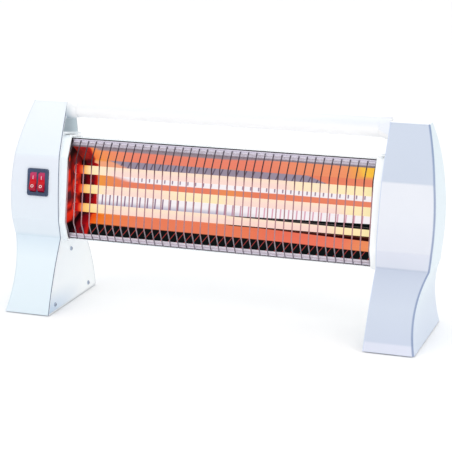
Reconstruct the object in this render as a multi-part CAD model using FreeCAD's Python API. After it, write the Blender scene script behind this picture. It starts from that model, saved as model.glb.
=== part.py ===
"""Bar heater: three quartz tubes behind a wire guard, carried between two moulded stands.

Millimetres. X runs along the heater, -Y is the front and +Z is up. The origin lies on the floor,
midway between the stands and midway along their feet.
"""
import FreeCAD, Part
import math
import os
from collections import namedtuple

Vector = FreeCAD.Vector
Station = namedtuple("Station", "z front back")
Bulge = namedtuple("Bulge", "front back")

# Stands: moulded shells, drawn as level sections between five heights that follow the head
PAD_RISE = 1.2
FOOT_REACH = 65.5
FOOT_WIDTH = 56.2
FOOT_HOLLOW = 6.8
WAIST_LIFT = 0.3
WAIST_FRONT = 23.0
WAIST_BACK = 35.0
WAIST_WIDTH = 59.3
BODY_SWELL = 9.2
BELLY_LIFT = 0.8
BELLY_FRONT = 26.0
BELLY_BACK = 33.0
SHOULDER_LIFT = 2.1
SHOULDER_FRONT = 15.0
SHOULDER_BACK = 37.0
CROWN_LIFT = 6.0
CROWN_FRONT = 13.8
CROWN_BACK = 31.2
CROWN_WIDTH = 44.0
CROWN_RISE = 2.0
CROWN_INSET = 2.2
SHELL_WALL = 2.5
SHELL_FLOOR = 3.0
EDGE_ROUND = 3.5
PANEL_LEAN = 1.34

# Inner covers, set in a rebate of the shells, and the ledge on each above the head
COVER_T = 2.5
COVER_LIP = 1.0
COVER_FIT = 0.4
LEDGE_T = 1.8
LEDGE_REACH = 5.0
LEDGE_GAP = 1.0
LEDGE_EDGE = 0.8
WINDOW_MARGIN = 11.0
WINDOW_ROUND = 6.0

# Screws
COVER_SCREW_D = 3.0
COVER_SCREW_LENGTH = 14.0
COVER_SCREW_FRONT_INSET = 15.0
COVER_SCREW_BACK_INSET = 21.0
COVER_SCREW_RISE = 8.0
COVER_SCREW_DROP = 18.7
COVER_SCREW_HIGH_Y = 2.5
SCREW_HEAD_RATIO = 1.65
SCREW_HEAD_T = 1.2
SCREW_SLACK = 0.3
PILOT_SLACK = 0.1
BOSS_WALL = 2.6
BODY_SCREW_D = 4.0
BODY_SCREW_LENGTH = 4.5
BODY_SCREW_INSET = 4.4
HANDLE_SCREW_LENGTH = 14.0

# Handle
HANDLE_D = 21.5
HANDLE_WALL = 2.0
FINGER_GAP = 20.0
HANDLE_FORWARD = 0.3
HANDLE_PLUG = 16.0
SPIGOT_STEP = 2.5
SOCKET_LENGTH = 12.0
SOCKET_LIP = 0.6
SOCKET_EDGE = 0.2
SOCKET_ROUND = 5.0
SOCKET_FIT = 0.15

# Wire guard: bent wires welded to two rails, from the lower ends up
WIRE_COUNT = 38
WIRE_PITCH = 9.68
WIRE_D = 1.35
RAIL_D = 2.0
WELD = 0.2
WIRE_BEND = 6.0
GUARD_BASE_Y = -15.3
GUARD_BASE_Z = 81.7
CHIN_RUN = -9.0
CHIN_RISE = 20.5
FACE_RUN = 12.6
FACE_RISE = 72.7
BROW_RUN = 14.3
BROW_RISE = 18.4

# Head: end rings round a bent sheet housing and a folded reflector
END_GAP = 0.3
RING_LENGTH = 7.9
RING_WALL = 2.0
RING_PROUD = 0.4
RING_ROUND = 7.0
RING_REACH = 5.0
RING_FIT = 0.2
SHEET_T = 1.0
HOUSING_OVERLAP = 3.0
HOUSING_ROUND = 9.0
HOUSING_BACK_Y = 31.5
HOUSING_BACK_RAKE = 2.0
HOUSING_TOP_LIFT = 3.4
HOUSING_TOP_FALL = 5.0
HOUSING_BASE_DROP = 2.4
HOUSING_BASE_RISE = 7.5
HOUSING_LIP_Y = 2.2
VENT_COUNT = 9
VENT_ROWS = 2
VENT_LENGTH = 26.0
VENT_WIDTH = 4.0
VENT_PITCH = 36.0
VENT_ROW_PITCH = 26.0
MIRROR_T = 0.6
MIRROR_BEND = 3.0
SEAT_GAP = 0.1
UPPER_FLANGE = 10.0
LOWER_FLANGE = 6.8
TROUGH_RUN = 7.3
TROUGH_RISE = 8.7
PLATE_T = 0.8
PLATE_FIT = 0.2
PLATE_GAP = 0.4

# Quartz tubes, coils and ceramic caps
TUBE_D = 10.0
TUBE_WALL = 1.0
TUBE_PITCH = 21.7
TUBE_MID_RISE = 53.9
TUBE_SETBACK = 25.5
TUBE_GRIP = 9.0
MIRROR_SETBACK = 15.0
MIRROR_TOP_RISE = 9.4
MIRROR_BASE_DROP = 10.0
CAP_D = 16.0
CAP_NOSE_D = 12.2
CAP_LENGTH = 16.0
CAP_FIT = 0.15
COIL_D = 6.6
COIL_COLD_END = 8.0
PIN_D = 2.2
PIN_REACH = 5.0
PIN_FIT = 0.1

# Twin rocker switch on the left stand's front
SWITCH_RISE = 64.3
SWITCH_OUT = 26.4
SWITCH_SINK = 0.5
BEZEL_WIDTH = 26.5
BEZEL_HEIGHT = 31.5
BEZEL_T = 2.3
BEZEL_ROUND = 2.5
SWITCH_WALL = 1.1
SWITCH_WEB = 2.3
SWITCH_DEPTH = 16.0
SWITCH_FLOOR = 5.0
SWITCH_FIT = 0.2
ROCKER_WIDTH = 7.6
ROCKER_RADIUS = 11.2
ROCKER_GAP = 0.3
ROCKER_PIVOT = 2.5
ROCKER_CROWN = 1.0
ROCKER_VEE = 1.5
ROCKER_BACK = 3.0
ROCKER_TILT = 10.0
ROCKER_PIN_D = 2.0
ROCKER_PIN_REACH = 0.9
ROCKER_PIN_FIT = 0.06
BLADE_WIDTH = 6.3
BLADE_T = 0.8
BLADE_LENGTH = 8.0
BLADE_PITCH = 9.0

# Left stand's base: tip-over switch, pads, terminal block and cord inlet
PAD_D = 14.0
PAD_STUD_D = 5.0
PAD_INSET = 13.0
PAD_STUD_CLEAR = 0.1
PLUNGER_D = 6.0
PLUNGER_FIT = 0.3
PLUNGER_LIFT = 0.3
PLUNGER_HEAD_D = 9.0
PLUNGER_HEAD_T = 2.0
PLUNGER_TRAVEL = 5.0
PLUNGER_Y = -22.0
TIP_BOX = 16.0
TIP_BOX_HEIGHT = 22.0
TIP_BOX_SOLE = 2.0
BLOCK_LENGTH = 30.0
BLOCK_HEIGHT = 14.0
BLOCK_DEPTH = 16.0
BLOCK_DROP = 4.7
BLOCK_WELL_D = 4.0
GROMMET_RISE = 38.3
GROMMET_D = 11.0
GROMMET_FLANGE = 2.5
GROMMET_FLANGE_T = 2.0
GROMMET_BORE = 7.0
GROMMET_FIT = 0.15

# Sleeved leads inside the stands and behind the reflector
LEAD_D = 2.6
LEAD_BEND = 2.5
LEAD_FIT = 0.4
LEAD_BEHIND = 2.45
LEAD_DROP = 3.9
COIL_LEAD_RUN = 3.5
SUPPLY_LEAD_RUN = 8.8
SUPPLY_LEAD_RISE = 16.0

# Bus bar across the right-hand coil pins
BUS_WIDTH = 8.0
BUS_T = 1.0
BUS_END = 6.0

# Generous reach for cutting and trimming solids
FAR = 600.0

# Guard path, heights and the head's length follow from the sizes above
guard_base = (GUARD_BASE_Y, GUARD_BASE_Z)
chin = (GUARD_BASE_Y + CHIN_RUN, GUARD_BASE_Z + CHIN_RISE)
brow = (chin[0] + FACE_RUN, chin[1] + FACE_RISE)
guard_top = (brow[0] + BROW_RUN, brow[1] + BROW_RISE)
wire_span = (WIRE_COUNT - 1) * WIRE_PITCH
ring_start = wire_span / 2 + WIRE_D / 2 + END_GAP
plate_start = ring_start + PLATE_GAP
plate_end = plate_start + PLATE_T
head_mid_z = (guard_base[1] + guard_top[1]) / 2
housing_top_z = guard_top[1] + HOUSING_TOP_LIFT
handle_z = housing_top_z + FINGER_GAP + HANDLE_D / 2
crown_z = handle_z + CROWN_LIFT
tube_mid_z = guard_base[1] + TUBE_MID_RISE
switch_z = guard_base[1] + SWITCH_RISE
grommet_z = guard_base[1] + GROMMET_RISE
block_z = guard_base[1] - BLOCK_DROP

# Heights between which a stand's front and back run, and how far each run bulges
foot = Station(PAD_RISE, -FOOT_REACH, FOOT_REACH)
waist = Station(guard_base[1] + WAIST_LIFT, -WAIST_FRONT, WAIST_BACK)
belly = Station(chin[1] + BELLY_LIFT, -BELLY_FRONT, BELLY_BACK)
shoulder = Station(brow[1] + SHOULDER_LIFT, -SHOULDER_FRONT, SHOULDER_BACK)
crown = Station(crown_z, CROWN_FRONT, CROWN_BACK)
zones = (
    (foot, waist, Bulge(-2.9, 7.2)),
    (waist, belly, Bulge(0.0, 0.0)),
    (belly, shoulder, Bulge(-1.5, 0.7)),
    (shoulder, crown, Bulge(-1.0, 2.8)),
)


def panel_x(z):
    """Distance of the inner covers' visible faces from mid-length at height z."""
    return ring_start + RING_LENGTH + (z - head_mid_z) * math.tan(math.radians(PANEL_LEAN))


def face_y(z):
    """Depth of the guard's straight front at height z."""
    return chin[0] + (z - chin[1]) * FACE_RUN / FACE_RISE


def guard_corners():
    """Path of one guard wire, from its lower end up."""
    return [guard_base + (0,), chin + (WIRE_BEND,), brow + (WIRE_BEND,), guard_top + (0,)]


def rail_places():
    """Depth and height of the upper and lower rail, each behind the wires' ends."""
    behind = WIRE_D / 2 + RAIL_D / 2 - WELD
    places = []
    for end, bend, side in ((guard_top, brow, 1), (guard_base, chin, -1)):
        onward = Vector(0, end[0] - bend[0], end[1] - bend[1]).normalize()
        inward = Vector(0, side * onward.z, -side * onward.y)
        place = Vector(0, *end) - onward * (RAIL_D / 2) + inward * behind
        places.append((place.y, place.z))
    return places


def tube_centres():
    """Depth and height of the upper, middle and lower tube."""
    heights = [tube_mid_z + step * TUBE_PITCH for step in (1, 0, -1)]
    return [(face_y(z) + TUBE_SETBACK, z) for z in heights]


def bulging(start, end, share, bulge):
    """Value part of the way from start to end, with a parabola's bulge between them."""
    return start + share * (end - start) + 4 * share * (1 - share) * bulge


def station_at(z):
    """Front and back of a stand at height z."""
    for lower, upper, bulge in zones:
        if z <= upper.z:
            break
    share = (z - lower.z) / (upper.z - lower.z)
    front = bulging(lower.front, upper.front, share, bulge.front)
    back = bulging(lower.back, upper.back, share, bulge.back)
    return Station(z, front, back)


def width_at(z):
    """Width of a stand at height z: hollow over the foot, swelling above the waist."""
    if z < waist.z:
        share = (z - foot.z) / (waist.z - foot.z)
        return bulging(FOOT_WIDTH, WAIST_WIDTH, share, -FOOT_HOLLOW)
    share = (z - waist.z) / (crown.z - waist.z)
    return bulging(WAIST_WIDTH, CROWN_WIDTH, share, BODY_SWELL)


def rounded_path(points, radii, closed):
    """Lines through the points, joined by a tangent arc at each point that has a radius."""
    count = len(points)
    ends = []
    for index, (here, radius) in enumerate(zip(points, radii)):
        if radius <= 0 or (not closed and index in (0, count - 1)):
            ends.append((here, None, here))
            continue
        before = (points[index - 1] - here).normalize()
        after = (points[(index + 1) % count] - here).normalize()
        half = before.getAngle(after) / 2
        reach = radius / math.tan(half)
        middle = here + (before + after).normalize() * (radius / math.sin(half) - radius)
        ends.append((here + before * reach, middle, here + after * reach))
    edges = []
    for index, (start, middle, end) in enumerate(ends):
        if middle:
            edges.append(Part.Arc(start, middle, end).toShape())
        if closed or index < count - 1:
            edges.append(Part.makeLine(end, ends[(index + 1) % count][0]))
    return Part.Wire(edges)


def bent_wire(corners, closed=True):
    """Rounded path through (y, z, radius) corners, in the plane x = 0."""
    return rounded_path([Vector(0, y, z) for y, z, radius in corners], [corner[2] for corner in corners], closed)


def shifted(corners, distance, closed=True):
    """Corners moved sideways, to the left of the path's direction, with their radii kept concentric."""
    count = len(corners)
    points = [Vector(0, y, z) for y, z, radius in corners]
    legs = []
    for index in range(count if closed else count - 1):
        along = (points[(index + 1) % count] - points[index]).normalize()
        legs.append((points[index], along, Vector(0, -along.z, along.y)))
    moved = []
    for index, (y, z, radius) in enumerate(corners):
        first = legs[index - 1] if closed or index > 0 else legs[0]
        second = legs[index] if index < len(legs) else legs[-1]
        turn = first[1].cross(second[1]).x
        spread = 1 + first[2].dot(second[2])
        place = points[index] + (first[2] + second[2]) * (distance / spread)
        rounded = radius - distance * math.copysign(1, turn) if radius > 0 else 0
        moved.append((place.y, place.z, max(rounded, 0)))
    return moved


def prism(corners, x_start, x_end):
    """Solid of a closed (y, z, radius) outline between two planes across the heater."""
    face = Part.Face(bent_wire(corners))
    face.translate(Vector(x_start, 0, 0))
    return face.extrude(Vector(x_end - x_start, 0, 0))


def sheet(corners, thickness, half_length):
    """Bent sheet that lies to the left of an open path, centred along the heater."""
    far_side = shifted(corners, thickness, closed=False)
    return prism(corners + far_side[::-1], -half_length, half_length)


def slab(near, far):
    """Space between two planes parallel to the right-hand inner cover, measured out from its face."""
    corners = []
    for offset, z in ((near, -FAR), (far, -FAR), (far, FAR), (near, FAR)):
        corners.append(Vector(panel_x(z) + offset, -FAR, z))
    return Part.Face(Part.makePolygon(corners + corners[:1])).extrude(Vector(0, 2 * FAR, 0))


def rod(diameter, length, start=0.0):
    """Cylinder along +X."""
    return Part.makeCylinder(diameter / 2, length, Vector(start, 0, 0), Vector(1, 0, 0))


def on_panel(shape, y, z):
    """Shape built along +X from the origin, set square on the right-hand inner cover's face."""
    shape.Placement = FreeCAD.Placement(
        Vector(panel_x(z), y, z), FreeCAD.Rotation(Vector(0, 1, 0), PANEL_LEAN))
    return shape


def mirrored(shape):
    """The left-hand copy of a right-hand shape."""
    return shape.mirror(Vector(0, 0, 0), Vector(1, 0, 0))


def stand_section(station, inset):
    """Level outline of a stand, drawn in from its outer faces by inset, open end past the panel."""
    inner = panel_x(station.z) - COVER_T
    outer = panel_x(station.z) + width_at(station.z) - inset
    front = station.front + inset
    back = station.back - inset
    rounding = max(EDGE_ROUND - inset, EDGE_ROUND / 4)
    bevel = rounding * (1 - math.sqrt(0.5))
    z = station.z
    front_start = Vector(outer - rounding, front, z)
    front_end = Vector(outer, front + rounding, z)
    back_start = Vector(outer, back - rounding, z)
    back_end = Vector(outer - rounding, back, z)
    inner_front = Vector(inner, front, z)
    inner_back = Vector(inner, back, z)
    return Part.Wire([
        Part.makeLine(inner_front, front_start),
        Part.Arc(front_start, Vector(outer - bevel, front + bevel, z), front_end).toShape(),
        Part.makeLine(front_end, back_start),
        Part.Arc(back_start, Vector(outer - bevel, back - bevel, z), back_end).toShape(),
        Part.makeLine(back_end, inner_back),
        Part.makeLine(inner_back, inner_front),
    ])


def stand_block(inset, floor_z, top_z):
    """Right-hand stand's outer form, drawn in by inset, between two heights."""
    lofts = []
    for lower, upper, bulge in zones:
        start = max(lower.z, floor_z)
        end = min(upper.z, top_z)
        heights = (start, (start + end) / 2, end)
        sections = [stand_section(station_at(z), inset) for z in heights]
        lofts.append(Part.makeLoft(sections, True, False))
    return lofts[0].multiFuse(lofts[1:])


def stand_crown():
    """Rounded top of a stand, above its front face."""
    sections = []
    for rise, inset in ((0.0, 0.0), (0.65, 0.25), (1.0, 1.0)):
        wire = stand_section(crown, inset * CROWN_INSET)
        wire.translate(Vector(rise * CROWN_RISE * math.tan(math.radians(PANEL_LEAN)), 0, rise * CROWN_RISE))
        sections.append(wire)
    return Part.makeLoft(sections, True, False)


def cover_screw_places():
    """Depth and height of the screws that hold an inner cover to its shell."""
    low_z = PAD_RISE + COVER_SCREW_RISE
    low = station_at(low_z)
    return [
        (low.front + COVER_SCREW_FRONT_INSET, low_z),
        (low.back - COVER_SCREW_BACK_INSET, low_z),
        (COVER_SCREW_HIGH_Y, guard_base[1] - COVER_SCREW_DROP),
    ]


def body_screw_places():
    """Depth and height of the screws that hold the head to an inner cover."""
    corners = housing_corners()
    inset = BODY_SCREW_INSET
    return [(corners[1][0] - inset, corners[1][1] - inset), (corners[2][0] - inset, corners[2][1] + inset)]


def handle_place():
    """Depth and height of the handle's axis."""
    station = station_at(handle_z)
    return (station.front + station.back) / 2 - HANDLE_FORWARD, handle_z


def screw(diameter, length):
    """Screw along +X, with the underside of its pan head at the origin and its shank beyond."""
    head_d = diameter * SCREW_HEAD_RATIO
    head = rod(head_d, SCREW_HEAD_T, -SCREW_HEAD_T)
    rim = [edge for edge in head.Edges if abs(edge.BoundBox.XMax + SCREW_HEAD_T) < 1e-6]
    return head.makeChamfer(SCREW_HEAD_T / 2, rim).fuse(rod(diameter, length)).removeSplitter()


def stand_shell():
    """Right-hand moulded shell: open towards the head, with a floor and screw bosses."""
    floor_z = PAD_RISE + SHELL_FLOOR
    outside = stand_block(0, PAD_RISE, crown_z).fuse(stand_crown())
    hollow = stand_block(SHELL_WALL, floor_z, crown_z - SHELL_WALL)
    rebate = stand_block(COVER_LIP, PAD_RISE + COVER_LIP, crown_z - COVER_LIP)
    rebate = rebate.common(slab(-COVER_T, COVER_T + SEAT_GAP))
    shell = outside.cut([hollow, rebate])
    trim = stand_block(SHELL_WALL / 2, PAD_RISE, crown_z)
    boss_d = COVER_SCREW_D + 2 * BOSS_WALL
    for y, z in cover_screw_places():
        boss = on_panel(rod(boss_d, FAR / 4, COVER_T), y, z).common(trim)
        shell = shell.fuse(boss)
    for y, z in cover_screw_places():
        pilot = rod(COVER_SCREW_D + PILOT_SLACK, COVER_SCREW_LENGTH + SCREW_SLACK)
        shell = shell.cut(on_panel(pilot, y, z))
    for x, y in pad_places():
        hole_d = PAD_STUD_D + 2 * PAD_STUD_CLEAR
        shell = shell.cut(Part.makeCylinder(hole_d / 2, floor_z, Vector(x, y, 0)))
    return shell.common(slab(0, FAR)).removeSplitter()


def left_shell():
    """Left-hand shell, with openings for the switch, the plunger and the cord."""
    shell = mirrored(stand_shell())
    seat = Part.makeBox(
        BEZEL_WIDTH + 2 * SWITCH_FIT, FAR / 8, BEZEL_HEIGHT + 2 * SWITCH_FIT,
        Vector(-BEZEL_WIDTH / 2 - SWITCH_FIT, -FAR / 8, -BEZEL_HEIGHT / 2 - SWITCH_FIT))
    width = switch_body_width() + 2 * SWITCH_FIT
    height = switch_body_height() + 2 * SWITCH_FIT
    opening = Part.makeBox(width, 4 * SHELL_WALL, height, Vector(-width / 2, -SHELL_WALL, -height / 2))
    shell = shell.cut([on_switch(seat), on_switch(opening)])
    x, y = plunger_place()
    hole = Part.makeCylinder(PLUNGER_D / 2 + PLUNGER_FIT, 2 * SHELL_FLOOR + PAD_RISE, Vector(x, y, 0))
    inlet = on_back(rod(GROMMET_D + 2 * GROMMET_FIT, 8 * SHELL_WALL, -4 * SHELL_WALL))
    return shell.cut([hole, inlet])


def inner_cover():
    """Right-hand inner cover: a panel flush with the shell's rim, with a ledge over the head's end."""
    inset = COVER_LIP + COVER_FIT
    panel = stand_block(inset, PAD_RISE + inset, crown_z - inset).common(slab(0, COVER_T))
    panel = panel.fuse(ledge())
    centres = tube_centres()
    low = centres[2][1] - WINDOW_MARGIN
    high = centres[0][1] + WINDOW_MARGIN
    window = [
        (centres[2][0] - WINDOW_MARGIN, low, WINDOW_ROUND),
        (centres[0][0] + WINDOW_MARGIN, low, WINDOW_ROUND),
        (centres[0][0] + WINDOW_MARGIN, high, WINDOW_ROUND),
        (centres[2][0] - WINDOW_MARGIN, high, WINDOW_ROUND),
    ]
    panel = panel.cut(prism(window, 0, FAR))
    holes = [on_panel(rod(COVER_SCREW_D + 2 * SCREW_SLACK, 4 * COVER_T, -2 * COVER_T), y, z)
             for y, z in cover_screw_places()]
    for y, z in body_screw_places() + [handle_place()]:
        holes.append(on_panel(rod(BODY_SCREW_D + 2 * SCREW_SLACK, 4 * COVER_T, -2 * COVER_T), y, z))
    return panel.cut(holes).removeSplitter()


def ledge():
    """Strip across the right-hand inner cover, parallel to the head's top and just above it."""
    front, back = ring_corners()[:2]
    fall = (back[1] - front[1]) / (back[0] - front[0])
    inset = COVER_LIP + COVER_FIT + LEDGE_EDGE
    corners = []
    for lift in (LEDGE_GAP, LEDGE_GAP + LEDGE_T):
        station = station_at(front[1] + lift)
        for y in (station.front + inset, station.back - inset):
            corners.append((y, front[1] + (y - front[0]) * fall + lift, 0))
    near_front, near_back, far_front, far_back = corners
    strip = prism([near_front, near_back, far_back, far_front], 0, FAR)
    return strip.common(slab(-LEDGE_REACH, COVER_T / 2))


def cover_screws():
    """The three screws of the right-hand inner cover, driven from the head's side."""
    return Part.makeCompound(
        [on_panel(screw(COVER_SCREW_D, COVER_SCREW_LENGTH), y, z) for y, z in cover_screw_places()])


def screw_from_inside(diameter, length, y, z):
    """Screw driven from inside the right-hand stand, through its cover towards the head."""
    shape = screw(diameter, length + COVER_T)
    shape.rotate(Vector(0, 0, 0), Vector(0, 0, 1), 180)
    shape.translate(Vector(COVER_T, 0, 0))
    return on_panel(Part.makeCompound([shape]), y, z).Solids[0]


def body_screws():
    """The screws that hold the head's end ring to the right-hand inner cover."""
    return Part.makeCompound(
        [screw_from_inside(BODY_SCREW_D, BODY_SCREW_LENGTH, y, z) for y, z in body_screw_places()])


def handle_tube():
    """Handle: a tube with a plugged spigot at each end, which butts against the inner cover."""
    y, z = handle_place()
    half = panel_x(z) + HANDLE_D
    grip = panel_x(z) - SOCKET_LENGTH - SEAT_GAP
    tube = rod(HANDLE_D, 2 * grip, -grip).fuse(rod(HANDLE_D - 2 * SPIGOT_STEP, 2 * half, -half))
    bore = panel_x(z) - SOCKET_LENGTH - HANDLE_PLUG
    tube = tube.cut(rod(HANDLE_D - 2 * HANDLE_WALL, 2 * bore, -bore))
    tube.translate(Vector(0, y, z))
    pilot = rod(BODY_SCREW_D + PILOT_SLACK, HANDLE_SCREW_LENGTH + SCREW_SLACK, -HANDLE_SCREW_LENGTH)
    pilot = on_panel(pilot, y, z)
    return tube.cut([slab(0, FAR), mirrored(slab(0, FAR)), pilot, mirrored(pilot)])


def handle_socket():
    """Right-hand socket round the spigot: flares from the handle's tube to the outline of the stand's top."""
    y, z = handle_place()
    foot_z = z - HANDLE_D / 2 - SOCKET_LIP / 2
    head_z = z + HANDLE_D / 2 + SOCKET_LIP / 2
    low = station_at(foot_z)
    high = station_at(min(head_z, crown_z))
    base = [
        (low.front + SOCKET_EDGE, foot_z, SOCKET_ROUND),
        (low.back - SOCKET_EDGE, foot_z, SOCKET_ROUND),
        (high.back - SOCKET_EDGE, head_z, SOCKET_ROUND),
        (high.front + SOCKET_EDGE, head_z, SOCKET_ROUND),
    ]
    half = HANDLE_D / 2
    mouth = [(y - half, z - half), (y + half, z - half), (y + half, z + half), (y - half, z + half)]
    flare_start = bent_wire([(a, b, half - SOCKET_FIT) for a, b in mouth])
    flare_end = bent_wire(base)
    flare_start.translate(Vector(panel_x(z) - SOCKET_LENGTH, 0, 0))
    flare_end.translate(Vector(panel_x(z) + SOCKET_LIP, 0, 0))
    socket = Part.makeLoft([flare_start, flare_end], True, True)
    bore = rod(HANDLE_D - 2 * SPIGOT_STEP + 2 * SOCKET_FIT, FAR)
    bore.translate(Vector(0, y, z))
    return socket.cut([slab(0, FAR), bore])


def housing_corners():
    """Outer path of the housing's sheet, from its upper front lip round the back to the lower one."""
    top_z = housing_top_z
    base_z = guard_base[1] - HOUSING_BASE_DROP
    return [
        (guard_top[0] + HOUSING_LIP_Y, top_z, 0),
        (HOUSING_BACK_Y, top_z - HOUSING_TOP_FALL, HOUSING_ROUND),
        (HOUSING_BACK_Y - HOUSING_BACK_RAKE, base_z + HOUSING_BASE_RISE, HOUSING_ROUND),
        (guard_base[0] + HOUSING_LIP_Y, base_z, 0),
    ]


def ring_corners():
    """Outer outline of an end ring: round the housing and just ahead of the guard."""
    path = housing_corners()
    for end, neighbour in ((0, 1), (3, 2)):
        lip = Vector(0, *path[end][:2])
        onward = lip + (lip - Vector(0, *path[neighbour][:2])).normalize() * RING_REACH
        path[end] = (onward.y, onward.z, 0)
    wrap = shifted(path, RING_FIT + RING_WALL, closed=False)
    wrap[0] = wrap[0][:2] + (RING_ROUND,)
    wrap[3] = wrap[3][:2] + (RING_ROUND,)
    ahead = shifted(guard_corners(), WIRE_D / 2 + RING_PROUD, closed=False)
    return wrap + ahead[1:3]


def rear_housing():
    """Bent sheet housing behind the reflector, with rows of vent slots in its back."""
    outer = housing_corners()
    half = ring_start + HOUSING_OVERLAP
    housing = prism(outer + shifted(outer, -SHEET_T, closed=False)[::-1], -half, half)
    vents = []
    for row in range(VENT_ROWS):
        z = head_mid_z + (row - (VENT_ROWS - 1) / 2) * VENT_ROW_PITCH
        for column in range(VENT_COUNT):
            x = (column - (VENT_COUNT - 1) / 2) * VENT_PITCH
            slot = Part.makeBox(
                VENT_LENGTH, HOUSING_ROUND, VENT_WIDTH,
                Vector(x - VENT_LENGTH / 2, HOUSING_BACK_Y - HOUSING_ROUND / 2, z - VENT_WIDTH / 2))
            vents.append(slot)
    return housing.cut(vents)


def end_ring():
    """Right-hand end ring: a band round the head's end, with bosses for the screws from the stand."""
    outline = ring_corners()
    ring = prism(outline, ring_start, FAR).cut(prism(shifted(outline, -RING_WALL), 0, 2 * FAR))
    boss_start = ring_start + HOUSING_OVERLAP + END_GAP
    solid_core = prism(shifted(outline, -RING_WALL / 2), ring_start, FAR)
    for y, z in body_screw_places():
        boss = rod(BODY_SCREW_D + 2 * BOSS_WALL, FAR, boss_start)
        boss.translate(Vector(0, y, z))
        ring = ring.fuse(boss.common(solid_core))
    for y, z in body_screw_places():
        pilot = rod(BODY_SCREW_D + PILOT_SLACK, BODY_SCREW_LENGTH + COVER_T, -BODY_SCREW_LENGTH)
        ring = ring.cut(on_panel(pilot, y, z))
    return ring.cut(slab(0, 2 * FAR)).removeSplitter()


def end_plate():
    """Right-hand plate that closes the reflector's end, with holes for the ceramic caps."""
    inset = RING_WALL + RING_FIT + SHEET_T + PLATE_FIT
    plate = prism(shifted(ring_corners(), -inset), plate_start, plate_end)
    holes = []
    for y, z in tube_centres():
        hole = rod(CAP_NOSE_D + 2 * CAP_FIT, FAR)
        hole.translate(Vector(0, y, z))
        holes.append(hole)
    passage = rod(LEAD_D + 2 * LEAD_FIT, FAR)
    passage.translate(Vector(0, *return_place()))
    return plate.cut(holes + [passage])


def reflector():
    """Polished sheet folded behind the tubes, with a flange behind each rail of the guard."""
    upper_y, lower_y = [y + RAIL_D / 2 + SEAT_GAP for y, z in rail_places()]
    ceiling = housing_top_z - SHEET_T - PLATE_FIT
    floor_z = guard_base[1]
    centres = tube_centres()
    top_z = centres[0][1] + MIRROR_TOP_RISE
    low_z = centres[2][1] - MIRROR_BASE_DROP
    back = TUBE_SETBACK + MIRROR_SETBACK
    path = [
        (upper_y, ceiling - RAIL_D / 2, 0),
        (upper_y, ceiling - UPPER_FLANGE, MIRROR_BEND),
        (face_y(top_z) + back, top_z, MIRROR_BEND),
        (face_y(low_z) + back, low_z, MIRROR_BEND),
        (lower_y + TROUGH_RUN, floor_z + LOWER_FLANGE + TROUGH_RISE, MIRROR_BEND),
        (lower_y, floor_z + LOWER_FLANGE, MIRROR_BEND),
        (lower_y, floor_z, 0),
    ]
    return sheet(path, MIRROR_T, plate_start - SEAT_GAP)


def return_place():
    """Depth and height of the return lead's long run, behind the reflector."""
    z = tube_centres()[2][1] - LEAD_DROP
    return face_y(z) + TUBE_SETBACK + MIRROR_SETBACK + LEAD_BEHIND, z


def quartz_tube(centre):
    """One quartz tube, gripped at each end by a ceramic cap."""
    half = plate_end + TUBE_GRIP
    tube = rod(TUBE_D, 2 * half, -half).cut(rod(TUBE_D - 2 * TUBE_WALL, 2 * half, -half))
    tube.translate(Vector(0, *centre))
    return tube


def ceramic_cap(centre):
    """Right-hand cap of one tube: a nose through the end plate and a body behind it."""
    nose = rod(CAP_NOSE_D, PLATE_T + PLATE_GAP, plate_start - PLATE_GAP / 2)
    cap = rod(CAP_D, CAP_LENGTH, plate_end).fuse(nose)
    socket_end = plate_end + TUBE_GRIP + CAP_FIT
    cap = cap.cut([rod(TUBE_D + 2 * CAP_FIT, socket_end), rod(PIN_D + 2 * PIN_FIT, FAR)])
    cap.translate(Vector(0, *centre))
    return cap


def heating_coil(centre):
    """Coil body inside one tube, with a pin out through the cap at each end."""
    hot = plate_start - COIL_COLD_END
    reach = plate_end + CAP_LENGTH + PIN_REACH
    coil = rod(COIL_D, 2 * hot, -hot).fuse(rod(PIN_D, 2 * reach, -reach))
    coil.translate(Vector(0, *centre))
    return coil


def bus_bar():
    """Strip that joins the three coil pins inside the right-hand stand."""
    centres = tube_centres()
    seat = plate_end + CAP_LENGTH
    low = Vector(seat, centres[2][0] - BUS_WIDTH / 2, centres[2][1] - BUS_END)
    top = Vector(seat, centres[0][0] - BUS_WIDTH / 2, centres[0][1] + BUS_END)
    across = Vector(0, BUS_WIDTH, 0)
    outline = Part.makePolygon([low, low + across, top + across, top, low])
    strip = Part.Face(outline).extrude(Vector(BUS_T, 0, 0))
    holes = []
    for y, z in centres:
        hole = rod(PIN_D + 2 * PIN_FIT, FAR)
        hole.translate(Vector(0, y, z))
        holes.append(hole)
    return strip.cut(holes)


def wire_guard():
    """Guard: bent wires welded to the fronts of two rails."""
    path = bent_wire(guard_corners(), closed=False)
    start = path.Edges[0]
    along = start.tangentAt(start.FirstParameter)
    ring = Part.Wire([Part.makeCircle(WIRE_D / 2, Vector(0, *guard_base), along)])
    wire = path.makePipeShell([ring], True, False)
    rails = []
    for y, z in rail_places():
        rail = rod(RAIL_D, 2 * ring_start, -ring_start)
        rail.translate(Vector(0, y, z))
        rails.append(rail)
    wires = []
    for index in range(WIRE_COUNT):
        copy = wire.copy()
        copy.translate(Vector((index - (WIRE_COUNT - 1) / 2) * WIRE_PITCH, 0, 0))
        wires.append(copy)
    return rails[0].multiFuse(rails[1:] + wires)


def switch_body_width():
    """Width of the switch body behind its bezel."""
    return 2 * ROCKER_WIDTH + 4 * ROCKER_GAP + SWITCH_WEB + 2 * SWITCH_WALL


def switch_body_height():
    """Height of the switch body behind its bezel."""
    return 2 * (ROCKER_RADIUS + ROCKER_GAP + SWITCH_WALL)


def rocker_offset():
    """Distance of a rocker's middle from the switch's middle."""
    return ROCKER_WIDTH / 2 + ROCKER_GAP + SWITCH_WEB / 2


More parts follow.
